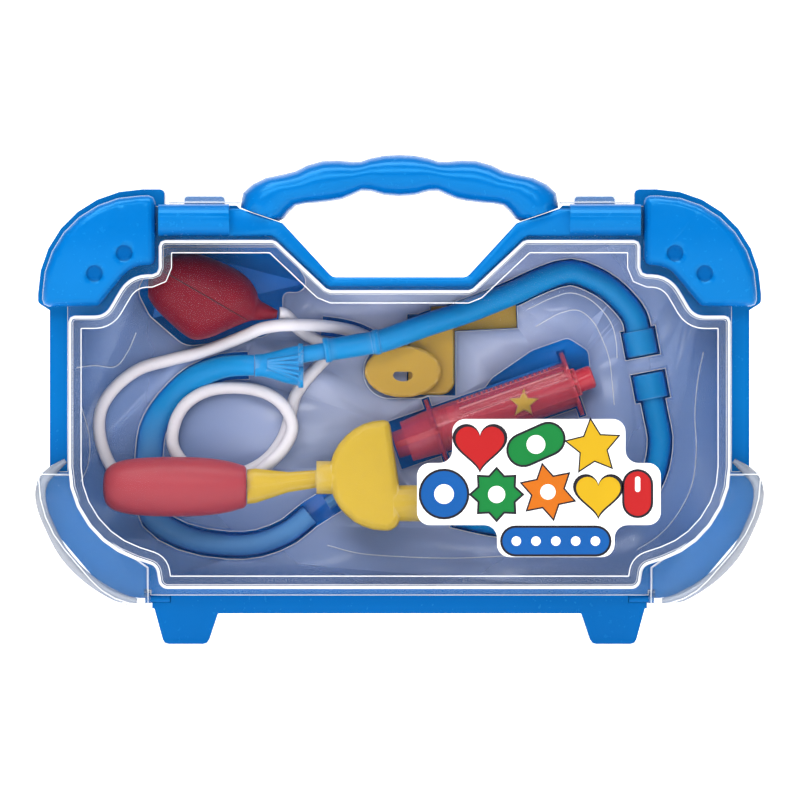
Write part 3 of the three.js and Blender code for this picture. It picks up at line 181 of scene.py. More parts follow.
def moulded(name, colour, rough=0.24, grain=420.0, bump=0.012, rounding=0.0006, coat=0.0, edge_highlight=0.08,
            gloss=0.14, lower=None, sheen=None):
    """Moulded plastic: flow clouds in the colour, a fine skin in the gloss, softened edges lightened as a
    painted highlight.

    Where lower is given, the lower half of the case turns to that colour. Where sheen is given,
    mirrored light takes that colour.
    """
    material, tree, shader = new_material(name)
    edge = tree.nodes.new("ShaderNodeBevel")
    edge.samples = BEVEL_SAMPLES
    edge.inputs["Radius"].default_value = rounding
    cloud = spread(tree, noise(tree, CLOUD_SCALE, CLOUD_DETAIL), 0.0, 1.0)
    clouds = colour_blend(tree, cloud, tinted(colour, CLOUD_DARK), tinted(colour, CLOUD_PALE))
    if lower:
        clouds = colour_blend(tree, low_down(tree), clouds, lower)
    # Painted highlight: the softened edges are lightened towards white by this share.
    highlight_colour = tuple(value + (1 - value) * edge_highlight for value in colour[:3]) + (1.0,)
    tree.links.new(
        colour_blend(tree, edge_highlight_mask(tree, edge.outputs["Normal"]), clouds, highlight_colour),
        shader.inputs["Base Color"],
    )
    skin = noise(tree, grain, SKIN_DETAIL)
    gloss_skin = spread(tree, skin, rough - SKIN_GLOSSY, rough + SKIN_DULL)
    tree.links.new(gloss_skin, shader.inputs["Roughness"])
    relief = tree.nodes.new("ShaderNodeBump")
    relief.inputs["Strength"].default_value = bump
    relief.inputs["Distance"].default_value = SKIN_DEPTH
    tree.links.new(skin, relief.inputs["Height"])
    tree.links.new(edge.outputs["Normal"], relief.inputs["Normal"])
    tree.links.new(relief.outputs["Normal"], shader.inputs["Normal"])
    shader.inputs["IOR"].default_value = PLASTIC_IOR
    shader.inputs["Specular IOR Level"].default_value = gloss
    if sheen:
        shader.inputs["Specular Tint"].default_value = sheen
    if coat:
        shader.inputs["Coat Weight"].default_value = coat
        shader.inputs["Coat Roughness"].default_value = COAT_ROUGHNESS
    return material


def far_from_middle(tree):
    """0 in the middle of the case, 1 towards its ends and its foot."""
    coordinates = tree.nodes.new("ShaderNodeTexCoord")
    place = tree.nodes.new("ShaderNodeMapping")
    place.inputs["Location"].default_value = MIDDLE_SHIFT
    place.inputs["Scale"].default_value = MIDDLE_SCALE
    tree.links.new(coordinates.outputs["Object"], place.inputs["Vector"])
    length = tree.nodes.new("ShaderNodeVectorMath")
    length.operation = "LENGTH"
    tree.links.new(place.outputs["Vector"], length.inputs[0])
    return spread(tree, length.outputs["Value"], 0.0, 1.0, MIDDLE_FROM, MIDDLE_TO)


def clear(name, colour, alpha, rough=0.08, ripple=0.05, scale=24.0, outer=None):
    """Clear plastic: a thin haze, with a gloss that carries broad forming marks.

    Where outer is given, the haze turns to that colour away from the middle of the case.
    """
    material, tree, shader = new_material(name)
    flow = noise(tree, scale, FLOW_DETAIL)
    tree.links.new(spread(tree, flow, rough, rough + FLOW_DULL), shader.inputs["Roughness"])
    waves = tree.nodes.new("ShaderNodeBump")
    waves.inputs["Strength"].default_value = ripple
    waves.inputs["Distance"].default_value = FLOW_DEPTH
    tree.links.new(flow, waves.inputs["Height"])
    tree.links.new(waves.outputs["Normal"], shader.inputs["Normal"])
    cloud = spread(tree, flow, 0.0, 1.0)
    haze = colour_blend(tree, cloud, tinted(colour, FLOW_DARK), tinted(colour, FLOW_PALE))
    if outer:
        haze = colour_blend(tree, far_from_middle(tree), haze, outer)
    tree.links.new(haze, shader.inputs["Base Color"])
    shader.inputs["Alpha"].default_value = alpha
    shader.inputs["IOR"].default_value = PLASTIC_IOR
    return material


# The case shell darkens towards its lower half: a painted shade.
case_blue = moulded(
    "case_blue_plastic", BLUE, rough=0.22, bump=0.0, edge_highlight=0.0, gloss=0.5, sheen=COOL_SHEEN,
    lower=SHADED_LOWER_BLUE,
)
# Painted shade: a darker blue for the faces inside the caps' dimples.
dimple_shade_blue = moulded(
    "dimple_shade_blue_plastic", linear(0, 76, 142), rough=0.3, bump=0.0, edge_highlight=0.0, gloss=0.2,
    sheen=COOL_SHEEN,
)
tube_blue = moulded("tube_blue_plastic", SOFT_BLUE, rough=0.34)
hose_blue = moulded("hose_blue_vinyl", SOFT_BLUE, rough=0.34, lower=HAZED_BLUE)
tube_hazed = moulded("tube_blue_behind_film", HAZED_BLUE, rough=0.5, edge_highlight=0.1)
toy_red = moulded("toy_red_plastic", RED, rough=0.26, coat=0.2)
grip_red = moulded("grip_red_vinyl", GRIP_RED, rough=0.36)
bulb_red = moulded("bulb_red_vinyl", BULB_RED, rough=0.40, grain=600.0, bump=0.06)
seam_red = moulded("bulb_seam_vinyl", tinted(BULB_RED, 0.35), rough=0.5)
barrel_red = clear("barrel_red_plastic", linear(206, 70, 84), 0.46, rough=0.06, ripple=0.0)
# Painted highlight: paler pink for the lengthwise strips on the syringe barrel.
barrel_highlight_pink = moulded("barrel_highlight_pink_plastic", linear(206, 120, 126), rough=0.3)
toy_yellow = moulded("toy_yellow_plastic", YELLOW, rough=0.32)
toy_mustard = moulded("toy_mustard_plastic", MUSTARD, rough=0.45)
hose_white = moulded("hose_white_vinyl", WHITE, rough=0.38, edge_highlight=0.1)
lid_clear = clear("lid_clear_plastic", linear(120, 150, 200), 0.012, rough=0.05)
lid_border = clear("lid_border_plastic", linear(186, 204, 230), 0.07, rough=0.14)
# Painted highlight: a bright, mostly opaque white for the lid's edges, border beads and clasp edges.
lid_edge_highlight = clear("lid_edge_highlight_plastic", linear(250, 251, 253), 0.62, rough=0.10)
# The clear ears' own faint haze, raised to a pale blue tint that is a painted sheen.
lid_ear_sheen = clear("lid_ear_sheen_plastic", linear(140, 176, 220), 0.09, rough=0.07)
lid_wall = clear("lid_wall_plastic", linear(70, 100, 150), 0.30, rough=0.10)
clasp_clear = clear("clasp_clear_plastic", linear(190, 214, 240), 0.16)
lid_rim = clear("lid_rim_plastic", linear(140, 147, 160), 0.66, rough=0.10)
tray_plateau = clear("tray_film_plateau", HAZE, 0.42, rough=0.14, ripple=0.1, outer=OUTER_HAZE)
# Painted light: the clear pocket film is tinted a bright, half-opaque blue, standing in for light on the
# blue shell behind it.
lit_pocket_film = clear("tray_film_pocket", linear(0, 132, 236), 0.58, rough=0.10, ripple=0.05, scale=60.0)
# Painted highlight: a pale, half-clear white for the bright lines along the tray's folds and forming
# lines.
fold_highlight_film = clear("tray_film_fold_highlight", linear(250, 252, 255), 0.46, rough=0.12)
label_white = moulded("label_white_paper", linear(250, 250, 248), rough=0.35, rounding=0.0001)

INK_COLOURS = {
    "black": linear(30, 28, 36),
    "red": linear(164, 26, 28),
    "green": linear(14, 112, 50),
    "blue": linear(10, 78, 146),
    "yellow": linear(190, 152, 20),
    "orange": linear(184, 96, 16),
}
inks = {
    name: moulded("ink_" + name, colour, rough=0.35, rounding=0.0001, edge_highlight=0.0)
    for name, colour in INK_COLOURS.items()
}

FINISHES = {
    "rear_shell": case_blue,
    "handle_grip_rear": case_blue,
    "handle_grip_front": case_blue,
    "front_trim": case_blue,
    "corner_cap_left": case_blue,
    "corner_cap_right": case_blue,
    "hinge_pin_left": case_blue,
    "hinge_pin_right": case_blue,
    "insert_tray": tray_plateau,
    "lid_window": lid_clear,
    "lid_sticker": label_white,
    "latch_clasp_left": clasp_clear,
    "latch_clasp_right": clasp_clear,
    "otoscope_grip": grip_red,
    "otoscope_head": toy_yellow,
    "otoscope_speculum": toy_yellow,
    "syringe_barrel": barrel_red,
    "syringe_plunger": toy_red,
    "plunger_seal": bulb_red,
    "stethoscope_fork": tube_blue,
    "ear_tube_upper": tube_blue,
    "ear_tube_lower": tube_blue,
    "ear_tip_upper": tube_blue,
    "ear_tip_lower": tube_blue,
    "stethoscope_hose": tube_blue,
    "chest_piece": tube_hazed,
    "chest_diaphragm": hose_white,
    "pump_bulb": bulb_red,
    "pump_hose": hose_white,
    "pump_hose_plug": hose_white,
    "gauge_dial": toy_mustard,
    "gauge_bracket": toy_mustard,
}


FOLD_ANGLE = math.radians(32)


def finish_nodes():
    for name, finish in FINISHES.items():
        part = nodes[name]
        if not part.material_slots:
            part.data.materials.append(finish)
        for slot in part.material_slots:
            slot.material = finish
        part.data.polygons.foreach_set("use_smooth", [True] * len(part.data.polygons))
        part.data.set_sharp_from_angle(angle=FOLD_ANGLE)


finish_nodes()


# Mesh helpers, in metres; lists of places are in millimetres

SOFT_FOLD_ANGLE = math.radians(50)
POINT_RADIUS = 0.01
SAME_PLACE = 0.000001
SAME_DEPTH = 0.0001
FACES_FRONT = 0.99
BEAD_STEPS = 2


def placed(name, data, body):
    """An object of this data that rides on a body."""
    made = bpy.data.objects.new(name, data)
    scene.collection.objects.link(made)
    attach(made, body)
    return made


def piece(name, verts, faces, finish, body, fold=SOFT_FOLD_ANGLE):
    """A smooth mesh object, sharp where it folds by more than an angle."""
    mesh = bpy.data.meshes.new(name)
    mesh.from_pydata([tuple(vert) for vert in verts], [], faces)
    mesh.materials.append(finish)
    mesh.polygons.foreach_set("use_smooth", [True] * len(mesh.polygons))
    mesh.set_sharp_from_angle(angle=fold)
    return placed(name, mesh, body)


def steady(size):
    """The same half size, given in millimetres, all along a sweep."""
    return lambda share: size * MM


def spline(places, spans):
    """Points in metres on a centripetal Catmull-Rom curve through the places."""
    knots = [Vector(place) * MM for place in places]
    knots = [2 * knots[0] - knots[1], *knots, 2 * knots[-1] - knots[-2]]
    points = []
    for before, start, end, after in zip(knots, knots[1:], knots[2:], knots[3:]):
        first, middle, last = (
            (b - a).length ** 0.5 for a, b in ((before, start), (start, end), (end, after))
        )
        rise = (end - start) / middle
        leave = ((start - before) / first - (end - before) / (first + middle) + rise) * middle
        arrive = (rise - (after - start) / (middle + last) + (after - end) / last) * middle
        for step in range(spans):
            t = step / spans
            points.append(
                (2 * t ** 3 - 3 * t ** 2 + 1) * start + (t ** 3 - 2 * t ** 2 + t) * leave
                + (3 * t ** 2 - 2 * t ** 3) * end + (t ** 3 - t ** 2) * arrive
            )
    points.append(knots[-2])
    return points


def skin(rings):
    """Verts and faces of a loft over rings of equal length, with end caps."""
    count = len(rings[0])
    verts = [point for ring in rings for point in ring]
    faces = []
    for i in range(len(rings) - 1):
        a, b = i * count, (i + 1) * count
        for k in range(count):
            n = (k + 1) % count
            faces.append((a + k, a + n, b + n, b + k))
    faces.append(tuple(reversed(range(count))))
    faces.append(tuple(range(len(verts) - count, len(verts))))
    return verts, faces


def sweep(path, half_width, half_depth, sides=28):
    """Verts and faces of a tube along a path; its half sizes are functions of the share along it."""
    rings = []
    last = len(path) - 1
    for i, centre in enumerate(path):
        along = (path[min(i + 1, last)] - path[max(i - 1, 0)]).normalized()
        across = Vector((-along.z, 0, along.x)).normalized()
        outwards = along.cross(across)
        share = i / last
        turns = [FULL_TURN * k / sides for k in range(sides)]
        rings.append([
            centre + across * half_width(share) * math.cos(turn)
            + outwards * half_depth(share) * math.sin(turn)
            for turn in turns
        ])
    return skin(rings)


def hose(name, places, half_width, half_depth, finish, body, replaced, spans=8, sides=28):
    """A swept tube that stands in for a node."""
    path = spline(places, spans)
    made = piece(name, *sweep(path, half_width, half_depth, sides), finish, body)
    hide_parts(replaced)
    return made


def lathe(start, direction, profile, sides=48):
    """Verts and faces of a body turned about an axis; profile rows are (along, radius) in mm."""
    across = Vector((-direction.z, 0, direction.x)).normalized()
    outwards = direction.cross(across)
    rings = []
    for along, radius in profile:
        centre = start + direction * along * MM
        rings.append([
            centre + (across * math.cos(turn) + outwards * math.sin(turn)) * max(radius, POINT_RADIUS) * MM
            for turn in (FULL_TURN * k / sides for k in range(sides))
        ])
    return skin(rings)


def merged_mesh(name):
    """An editable copy of a CAD node's mesh with its doubled corners joined."""
    mesh = bmesh.new()
    mesh.from_mesh(nodes[name].data)
    bmesh.ops.remove_doubles(mesh, verts=mesh.verts, dist=SAME_PLACE)
    return mesh


def rim_loops(name, y):
    """Closed loops of points round the flat faces of a node that lie at depth y."""
    mesh = merged_mesh(name)
    flat = {
        face for face in mesh.faces
        if abs(face.normal.y) > FACES_FRONT and abs(face.calc_center_median().y - y) < SAME_DEPTH
    }
    rims = [edge for edge in mesh.edges if sum(face in flat for face in edge.link_faces) == 1]
    joined = {}
    for edge in rims:
        a, b = edge.verts
        joined.setdefault(a, []).append(b)
        joined.setdefault(b, []).append(a)
    loops = []
    while joined:
        start = next(iter(joined))
        loop, here = [start], joined[start].pop()
        joined[here].remove(start)
        while here is not start:
            loop.append(here)
            onward = joined[here].pop()
            joined[onward].remove(here)
            here = onward
        loops.append([vert.co.copy() for vert in loop])
        joined = {vert: ends for vert, ends in joined.items() if ends}
    mesh.free()
    return loops


def bead(name, loops, radius, finish, body):
    """Thin round beads along closed loops, as one curve object."""
    curve = bpy.data.curves.new(name, "CURVE")
    curve.dimensions = "3D"
    curve.bevel_depth = radius * MM
    curve.bevel_resolution = BEAD_STEPS
    for loop in loops:
        line = curve.splines.new("POLY")
        line.points.add(len(loop) - 1)
        for point, place in zip(line.points, loop):
            point.co = (*place, 1)
        line.use_cyclic_u = True
    curve.materials.append(finish)
    return placed(name, curve, body)


# Clear sheets: a copy of the node with a finish for each zone, and bright beads of painted highlight on
# its folds

FLAT_FRONT = 0.98
NEARLY_FRONT = 0.9
HALF_FRONT = 0.5
TRAY_SHEET = 1.2
TRAY_SLACK = 0.1
FOLD_BEAD = 0.2
BORDER_BEAD = 0.26
CLASP_BEAD = 0.3


def zoned(node, name, finishes, zone, body):
    """A piece with the node's form whose faces take finishes[zone(face)]."""
    mesh = merged_mesh(node)
    for face in mesh.faces:
        face.material_index = zone(face)
        face.smooth = abs(face.normal.y) < FLAT_FRONT
    data = bpy.data.meshes.new(name)
    mesh.to_mesh(data)
    mesh.free()
    for finish in finishes:
        data.materials.append(finish)
    data.set_sharp_from_angle(angle=FOLD_ANGLE)
    made = placed(name, data, body)
    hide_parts(node)
    return made


def tray():
    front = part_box("insert_tray")[0].y
    plateau_back = front + TRAY_SHEET * MM + TRAY_SLACK * MM

    def zone(face):
        """0 on the flat of the sheet, 1 in its pockets."""
        middle = face.calc_center_median().y
        return 0 if abs(face.normal.y) > NEARLY_FRONT and middle < plateau_back else 1

    made = zoned("insert_tray", "tray_film", [tray_plateau, lit_pocket_film], zone, "case")
    # Pale beads on the pocket rims: painted highlights.
    fold_highlights = bead("tray_fold_highlights", rim_loops("insert_tray", front), FOLD_BEAD, fold_highlight_film, "case")


BORDER_TOP_DEPTH = 1.3 * MM
PANE_BACK = 4.5 * MM
HALF_WINDOW = 155 * MM
EAR_FRONT = -28 * MM
LID_PARTING = -19 * MM


def lid():
    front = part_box("lid_window")[0].y

    def zone(face):
        """0 on the pane, 1 and 2 on the raised border and its edges, 3 on the ears, 4 on the walls; the
        edges take the painted highlight white.
        """
        place = face.calc_center_median()
        if place.y < front + BORDER_TOP_DEPTH and abs(place.x) <= HALF_WINDOW:
            return 1 if face.normal.y < -NEARLY_FRONT else 2
        if place.y < front + PANE_BACK:
            return 0
        return 3 if abs(face.normal.y) > HALF_FRONT else 4

    finishes = [lid_clear, lid_border, lid_edge_highlight, lid_ear_sheen, lid_wall]
    made = zoned("lid_window", "lid_shell", finishes, zone, "lid")
    # Bright beads round the border, ears and flange: painted highlights.
    rims = rim_loops("lid_window", front) + rim_loops("lid_window", EAR_FRONT)
    beads = bead("lid_border_highlights", rims, BORDER_BEAD, lid_edge_highlight, "lid")
    parting = rim_loops("lid_window", LID_PARTING)
    flange = bead("lid_flange_highlights", parting, FOLD_BEAD, lid_edge_highlight, "lid")


# Smooth-skinned copies of the moulded nodes, whose own meshes have a hard line at every facet

# Each row: node, body, slot
MOULDINGS = [
    ("rear_shell", "case", "case_blue"),
    ("front_trim", "lid", "case_blue"),
    ("handle_grip_rear", "case", "case_blue"),
    ("handle_grip_front", "lid", "case_blue"),
    ("otoscope_head", "case", "toy_yellow"),
    ("otoscope_speculum", "case", "toy_yellow"),
    ("syringe_barrel", "case", "toy_red"),
    ("syringe_plunger", "plunger", "toy_red"),
    ("stethoscope_fork", "case", "stethoscope_blue"),
    ("ear_tip_upper", "case", "stethoscope_blue"),
    ("ear_tip_lower", "case", "stethoscope_blue"),
    ("chest_piece", "case", "stethoscope_blue"),
    ("gauge_dial", "case", "toy_yellow"),
    ("gauge_bracket", "case", "toy_yellow"),
]
SQUARE_ON = 0.9999


def smooth_moulding(node, body, slot):
    """The shell's faces that look straight along an axis stay flat; all else is smooth."""
    made = zoned(node, node + "_skin", [FINISHES[node]], lambda face: 0, body)
    for polygon in made.data.polygons:
        polygon.use_smooth = node != "rear_shell" or max(map(abs, polygon.normal)) < SQUARE_ON
    weighted = made.modifiers.new("weighted_normals", "WEIGHTED_NORMAL")
    weighted.keep_sharp = True


for moulding in MOULDINGS:
    smooth_moulding(*moulding)


# The thick clear lip round each lower ear, from the side of the window down to the foot

EAR_LIP = [
    (156.5, 86.0), (161.5, 82.2), (166.2, 77.6), (168.3, 71.5), (167.4, 63.8), (163.6, 54.2),
    (157.8, 43.2), (149.8, 34.0), (139.8, 26.4), (131.0, 22.0), (123.0, 20.2),
]
LIP_DEPTH = -23.8
LIP_HALF_WIDTH = 2.5
LIP_HALF_DEPTH = 4.0
LIP_END_SHARE = 0.5
LIP_TAPER = 4
LIP_SPANS = 8
LIP_SIDES = 20


def ear_lip(name, sign):
    def half_width(share):
        from_end = min(share, 1 - share)
        return LIP_HALF_WIDTH * MM * min(1.0, LIP_END_SHARE + LIP_TAPER * from_end)

    path = spline([(sign * x, LIP_DEPTH, z) for x, z in EAR_LIP], LIP_SPANS)
    form = sweep(path, half_width, steady(LIP_HALF_DEPTH), LIP_SIDES)
    lip = piece(name, *form, lid_rim, "lid")


def clasp_edges(side):
    node = "latch_clasp_" + side
    # Bright beads round the clasp's front: painted highlights.
    rims = rim_loops(node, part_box(node)[0].y)
    edges = bead(node + "_edges", rims, CLASP_BEAD, lid_edge_highlight, "latch_" + side)


tray()
lid()
ear_lip("ear_lip_left", -1)
ear_lip("ear_lip_right", 1)
clasp_edges("left")
clasp_edges("right")


# Corner caps: the CAD form with its front swelled to a low dome, and painted shade in its dimples

CAP_CENTRE = (146.0, 190.0)
CAP_REACH = 34.0
CAP_DROP = 3.4
DIMPLES = [(128.9, 183.1), (142.8, 173.6)]
DIMPLE_RADIUS = 4.0
CAP_MESH_LENGTHS = (24, 12, 6, 3)
TURNS_FRONT = -0.2


def corner_cap(side, sign):
    node = "corner_cap_" + side
    low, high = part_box(node)
    mesh = merged_mesh(node)
    bmesh.ops.triangulate(mesh, faces=mesh.faces[:])
    for length in CAP_MESH_LENGTHS:
        long_edges = [edge for edge in mesh.edges if edge.calc_length() > length * MM]
        bmesh.ops.subdivide_edges(mesh, edges=long_edges, cuts=1)
        bmesh.ops.triangulate(mesh, faces=mesh.faces[:])
    for vert in mesh.verts:
        across = (sign * vert.co.x / MM - CAP_CENTRE[0]) / CAP_REACH
        up = (vert.co.z / MM - CAP_CENTRE[1]) / CAP_REACH
        share = (high.y - vert.co.y) / (high.y - low.y)
        vert.co.y += CAP_DROP * MM * min(across ** 2 + up ** 2, 1.0) * share
    for face in mesh.faces:
        face.smooth = True
        # Faces inside the dimples take the darker blue, a painted shade.
        middle = face.calc_center_median() / MM
        near = [math.dist((sign * middle.x, middle.z), place) < DIMPLE_RADIUS for place in DIMPLES]
        face.material_index = 1 if any(near) and face.normal.y < TURNS_FRONT else 0
    data = bpy.data.meshes.new("cap_dome_" + side)
    mesh.to_mesh(data)
    mesh.free()
    data.materials.append(case_blue)
    data.materials.append(dimple_shade_blue)
    data.set_sharp_from_angle(angle=SOFT_FOLD_ANGLE)
    made = placed("cap_dome_" + side, data, "lid")
    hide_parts(node)


corner_cap("left", -1)
corner_cap("right", 1)


# Painted highlights along forming lines that run across the flat of the tray, drawn as thin clear ridges

TRAY_LINES = [
    [(60, 157), (72, 162.6), (80, 164.8), (88, 162.6), (95, 157), (100, 149.6), (102, 141), (102.4, 134)],
    [(64, 149), (76, 155.4), (84, 156.6), (91, 151.4), (95.4, 143), (98.6, 134), (100, 123), (101, 112)],
    [(-152, 129.6), (-144, 130.6), (-133.6, 130.2), (-128, 137), (-124, 146)],
    [(-34, 46), (-20, 42.4), (2, 40.6), (26, 40), (50, 41), (76, 43), (98, 46.4)],
    [(112, 44), (122, 50.6), (131, 61), (137.4, 74), (139.6, 90), (139, 108), (140.4, 124), (143, 137)],
    [(-150, 112), (-146, 97), (-146.6, 84), (-150, 76)],
]
RIDGE_RADIUS = 0.26
RIDGE_SPANS = 10
THIN_SIDES = 8


def tray_lines():
    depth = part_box("insert_tray")[0].y / MM
    thin = steady(RIDGE_RADIUS)
    for number, line in enumerate(TRAY_LINES):
        path = spline([(x, depth, z) for x, z in line], RIDGE_SPANS)
        ridge = piece(f"fold_highlight_film_{number}", *sweep(path, thin, thin, THIN_SIDES), fold_highlight_film, "case")


tray_lines()


# Stethoscope

STETHOSCOPE_HOSE = [
    [-68.3, -1.8, 130.7], [-72, -1.8, 130.7], [-83.1, 3.4, 129.8], [-96.2, 10.2, 124.7],
    [-104.6, 14.5, 117.6], [-112.1, 15.4, 108.7],
    [-116.3, 15.4, 100.3], [-117.6, 15.4, 91.9], [-118.2, 15.4, 81.6], [-118.2, 15.4, 69.9],
    [-115.6, 15.4, 59], [-102.2, 15.4, 50.2], [-80.7, 15.4, 46.1], [-66.2, 15.4, 47],
    [-52.2, 15.4, 52.6], [-42.5, 15.4, 60.4],
]
UPPER_EAR_TUBE = [
    [-13.2, -1.8, 141.2], [-8.6, -1.6, 142.1], [11.9, 2.6, 149.4], [32.9, 7, 156.4], [54, 11, 164.9],
    [68, 14, 171.4], [80.6, 16.5, 174.7], [90.9, 17.5, 171.4], [98.9, 17.5, 166.7], [105.4, 17.5, 160.6],
    [109.4, 17.5, 155.6], [111.3, 17.5, 151.6], [112.3, 17.5, 146.4],
]
LOWER_EAR_TUBE = [
    [118.9, 17.5, 116.2], [120.7, 17.5, 107], [122.6, 17.5, 97], [122, 17.5, 88], [119.6, 17.5, 79],
    [114.6, 17.5, 70], [106.6, 17.5, 62.8], [95, 17.5, 58], [79.7, 17.5, 55.4], [61, 17.5, 54.5],
    [42.3, 17.5, 56.4], [25.9, 17.5, 60.1],
]
SLEEVE_START = Vector((-35.5, -1.8, 137.6)) * MM
SLEEVE_END = Vector((-9.2, -1.8, 141.9)) * MM
SLEEVE_PROFILE = [
    [0, 4.2], [0, 5.5], [0.4, 5.9], [2.6, 5.9], [3, 5.5], [3.4, 5.2], [9, 5.3], [17, 5.4], [23.2, 5.3],
    [23.6, 5.6], [24, 6], [26.2, 6], [26.6, 5.6], [26.6, 4.2],
]
HOSE_HALF_WIDTH = 4.9
HOSE_SWELL, SWELL_FROM, SWELL_TO = 1.4, 0.08, 0.3
HOSE_SHRINK, SHRINK_FROM, SHRINK_TO = 1.3, 0.55, 0.8
HOSE_HALF_DEPTH = 4
UPPER_TUBE_RADIUS = 5.5
LOWER_TUBE_RADIUS = 5.1
TUBE_SPANS = 8


def smooth_step(share, start, end):
    t = min(max((share - start) / (end - start), 0), 1)
    return t * t * (3 - 2 * t)


def stethoscope():
    def hose_half(share):
        swell = HOSE_SWELL * smooth_step(share, SWELL_FROM, SWELL_TO)
        shrink = HOSE_SHRINK * smooth_step(share, SHRINK_FROM, SHRINK_TO)
        return (HOSE_HALF_WIDTH + swell - shrink) * MM

    tube = hose(
        "stethoscope_tube", STETHOSCOPE_HOSE, hose_half, steady(HOSE_HALF_DEPTH), hose_blue, "case",
        "stethoscope_hose",
    )

    upper_half, lower_half = steady(UPPER_TUBE_RADIUS), steady(LOWER_TUBE_RADIUS)
    verts, faces = sweep(spline(UPPER_EAR_TUBE, TUBE_SPANS), upper_half, upper_half)
    direction = (SLEEVE_END - SLEEVE_START).normalized()
    sleeve_verts, sleeve_faces = lathe(SLEEVE_START, direction, SLEEVE_PROFILE)
    offset = len(verts)
    faces += [tuple(index + offset for index in face) for face in sleeve_faces]
    upper = piece("ear_tube_upper_smooth", verts + sleeve_verts, faces, tube_blue, "case")
    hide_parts("ear_tube_upper")

    lower = hose(
        "ear_tube_lower_smooth", LOWER_EAR_TUBE, lower_half, lower_half, tube_blue, "case",
        "ear_tube_lower",
    )


stethoscope()


# Blood pressure pump

PUMP_HOSE = [
    [-56.5, -0.9, 155.2], [-54.8, -0.6, 155], [-51.8, 2, 152.8], [-49, 5, 149.4], [-45.2, 7.4, 146],
    [-40, 7.8, 143], [-34.4, 7.8, 138.8], [-34.6, 7.8, 134.8], [-38.6, 7.8, 130], [-44.8, 7.8, 123],
    [-49.4, 7.8, 115.5], [-51.6, 7.8, 106.4], [-54.8, 7.8, 96.6], [-62.6, 7.8, 86.4], [-74.6, 7.8, 79.9],
    [-88.6, 7.8, 78.4], [-100, 7.8, 83.4], [-106.4, 7.8, 92.4], [-106, 7.8, 102.6], [-101, 7.8, 112],
    [-91, 7.8, 118.4], [-76.4, 7.4, 120.2], [-62.4, 5, 117.4], [-53.8, 1.6, 110.6], [-50.4, 1.2, 101.6],
    [-54, 1.2, 92.4], [-63, 1.4, 83], [-70.5, 2.6, 76.2], [-80.5, 6.6, 69.2], [-96, 7.8, 67.6],
    [-114, 7.8, 68.8], [-129.4, 7.8, 75], [-137.4, 7.8, 86.3], [-141.2, 7.8, 99.4], [-140.4, 7.8, 109.7],
    [-134.6, 7.8, 119.4], [-122.6, 7.8, 128.8], [-108, 7.8, 133.2], [-95.2, 7.6, 136.4], [-84, 5.6, 140.1],
    [-73.2, 1.2, 144.4], [-64.6, -3, 148], [-57, -4.4, 149.3], [-51, -4.2, 149.6], [-43.5, -1.2, 149.6],
    [-35.7, 3.8, 149.2], [-28, 8.4, 148.2], [-20, 13.2, 146.2], [-13.6, 16, 143.2], [-9.4, 16.2, 141.4],
    [-5.4, 16.2, 141],
]
BULB_PLACE = (-118.2, -1.0, 142.6)
BULB_SIZE = (61.0, 18.0, 40.6)
BULB_TOP_SHARES = [
    [0.005, 0.71], [0.07, 0.885], [0.16, 0.985], [0.33, 1], [0.415, 0.985], [0.575, 0.894],
    [0.7, 0.798], [0.79, 0.682], [0.838, 0.557], [0.856, 0.473], [0.93, 0.4], [1, 0.345],
]
BULB_BOTTOM_SHARES = [
    [0, 0.5], [0.045, 0.39], [0.15, 0.227], [0.28, 0.059], [0.355, 0.005], [0.487, 0.034],
    [0.618, 0.121], [0.716, 0.182], [0.782, 0.219], [0.831, 0.229], [0.913, 0.236], [0.992, 0.249],
]
BULB_DEPTH_SHARES = [0.4, 0.66, 0.86, 0.96, 1, 0.98, 0.9, 0.74, 0.55, 0.36, 0.2, 0.14]
BULB_SPANS = 5
BULB_SIDES = 56
SEAM_FROM = (-112.0, 175.4)
SEAM_TO = (-66.0, 148.7)
SEAM_REACH = 0.94
SEAM_RADIUS = 0.3
PUMP_HOSE_RADIUS = 2.9
PUMP_HOSE_SPANS = 7
PUMP_HOSE_SIDES = 24


def pump_bulb():
    x0, y0, z0 = BULB_PLACE
    length, depth, height = BULB_SIZE
    top = spline([[x0 + u * length, 0, z0 + v * height] for u, v in BULB_TOP_SHARES], BULB_SPANS)
    bottom = spline([[x0 + u * length, 0, z0 + v * height] for u, v in BULB_BOTTOM_SHARES], BULB_SPANS)
    depths = spline([[i, depth * share, 0] for i, share in enumerate(BULB_DEPTH_SHARES)], BULB_SPANS)
    rings, seam = [], []
    slope = (SEAM_TO[1] - SEAM_FROM[1]) / (SEAM_TO[0] - SEAM_FROM[0])
    for high, low, deep in zip(top, bottom, depths):
        middle, half = (high + low) / 2, (high - low) / 2
        rings.append([
            middle + half * math.cos(turn) + Vector((0, y0 * MM + deep.y * math.sin(turn), 0))
            for turn in (FULL_TURN * k / BULB_SIDES for k in range(BULB_SIDES))
        ])
        line = SEAM_FROM[1] * MM + slope * (middle.x - SEAM_FROM[0] * MM)
        cosine = (line - middle.z) / (half.z - slope * half.x)
        if abs(cosine) < SEAM_REACH:
            front = y0 * MM - deep.y * (1 - cosine ** 2) ** 0.5
            seam.append(middle + half * cosine + Vector((0, front, 0)))
    bulb = piece("pump_bulb_vinyl", *skin(rings), bulb_red, "case")
    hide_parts("pump_bulb")
    thin = steady(SEAM_RADIUS)
    ridge = piece("pump_bulb_seam", *sweep(seam, thin, thin, THIN_SIDES), seam_red, "case")


def pump_hose():
    half = steady(PUMP_HOSE_RADIUS)
    made = hose(
        "pump_hose_vinyl", PUMP_HOSE, half, half, hose_white, "case", "pump_hose", PUMP_HOSE_SPANS,
        PUMP_HOSE_SIDES,
    )


pump_bulb()
pump_hose()


# Otoscope grip

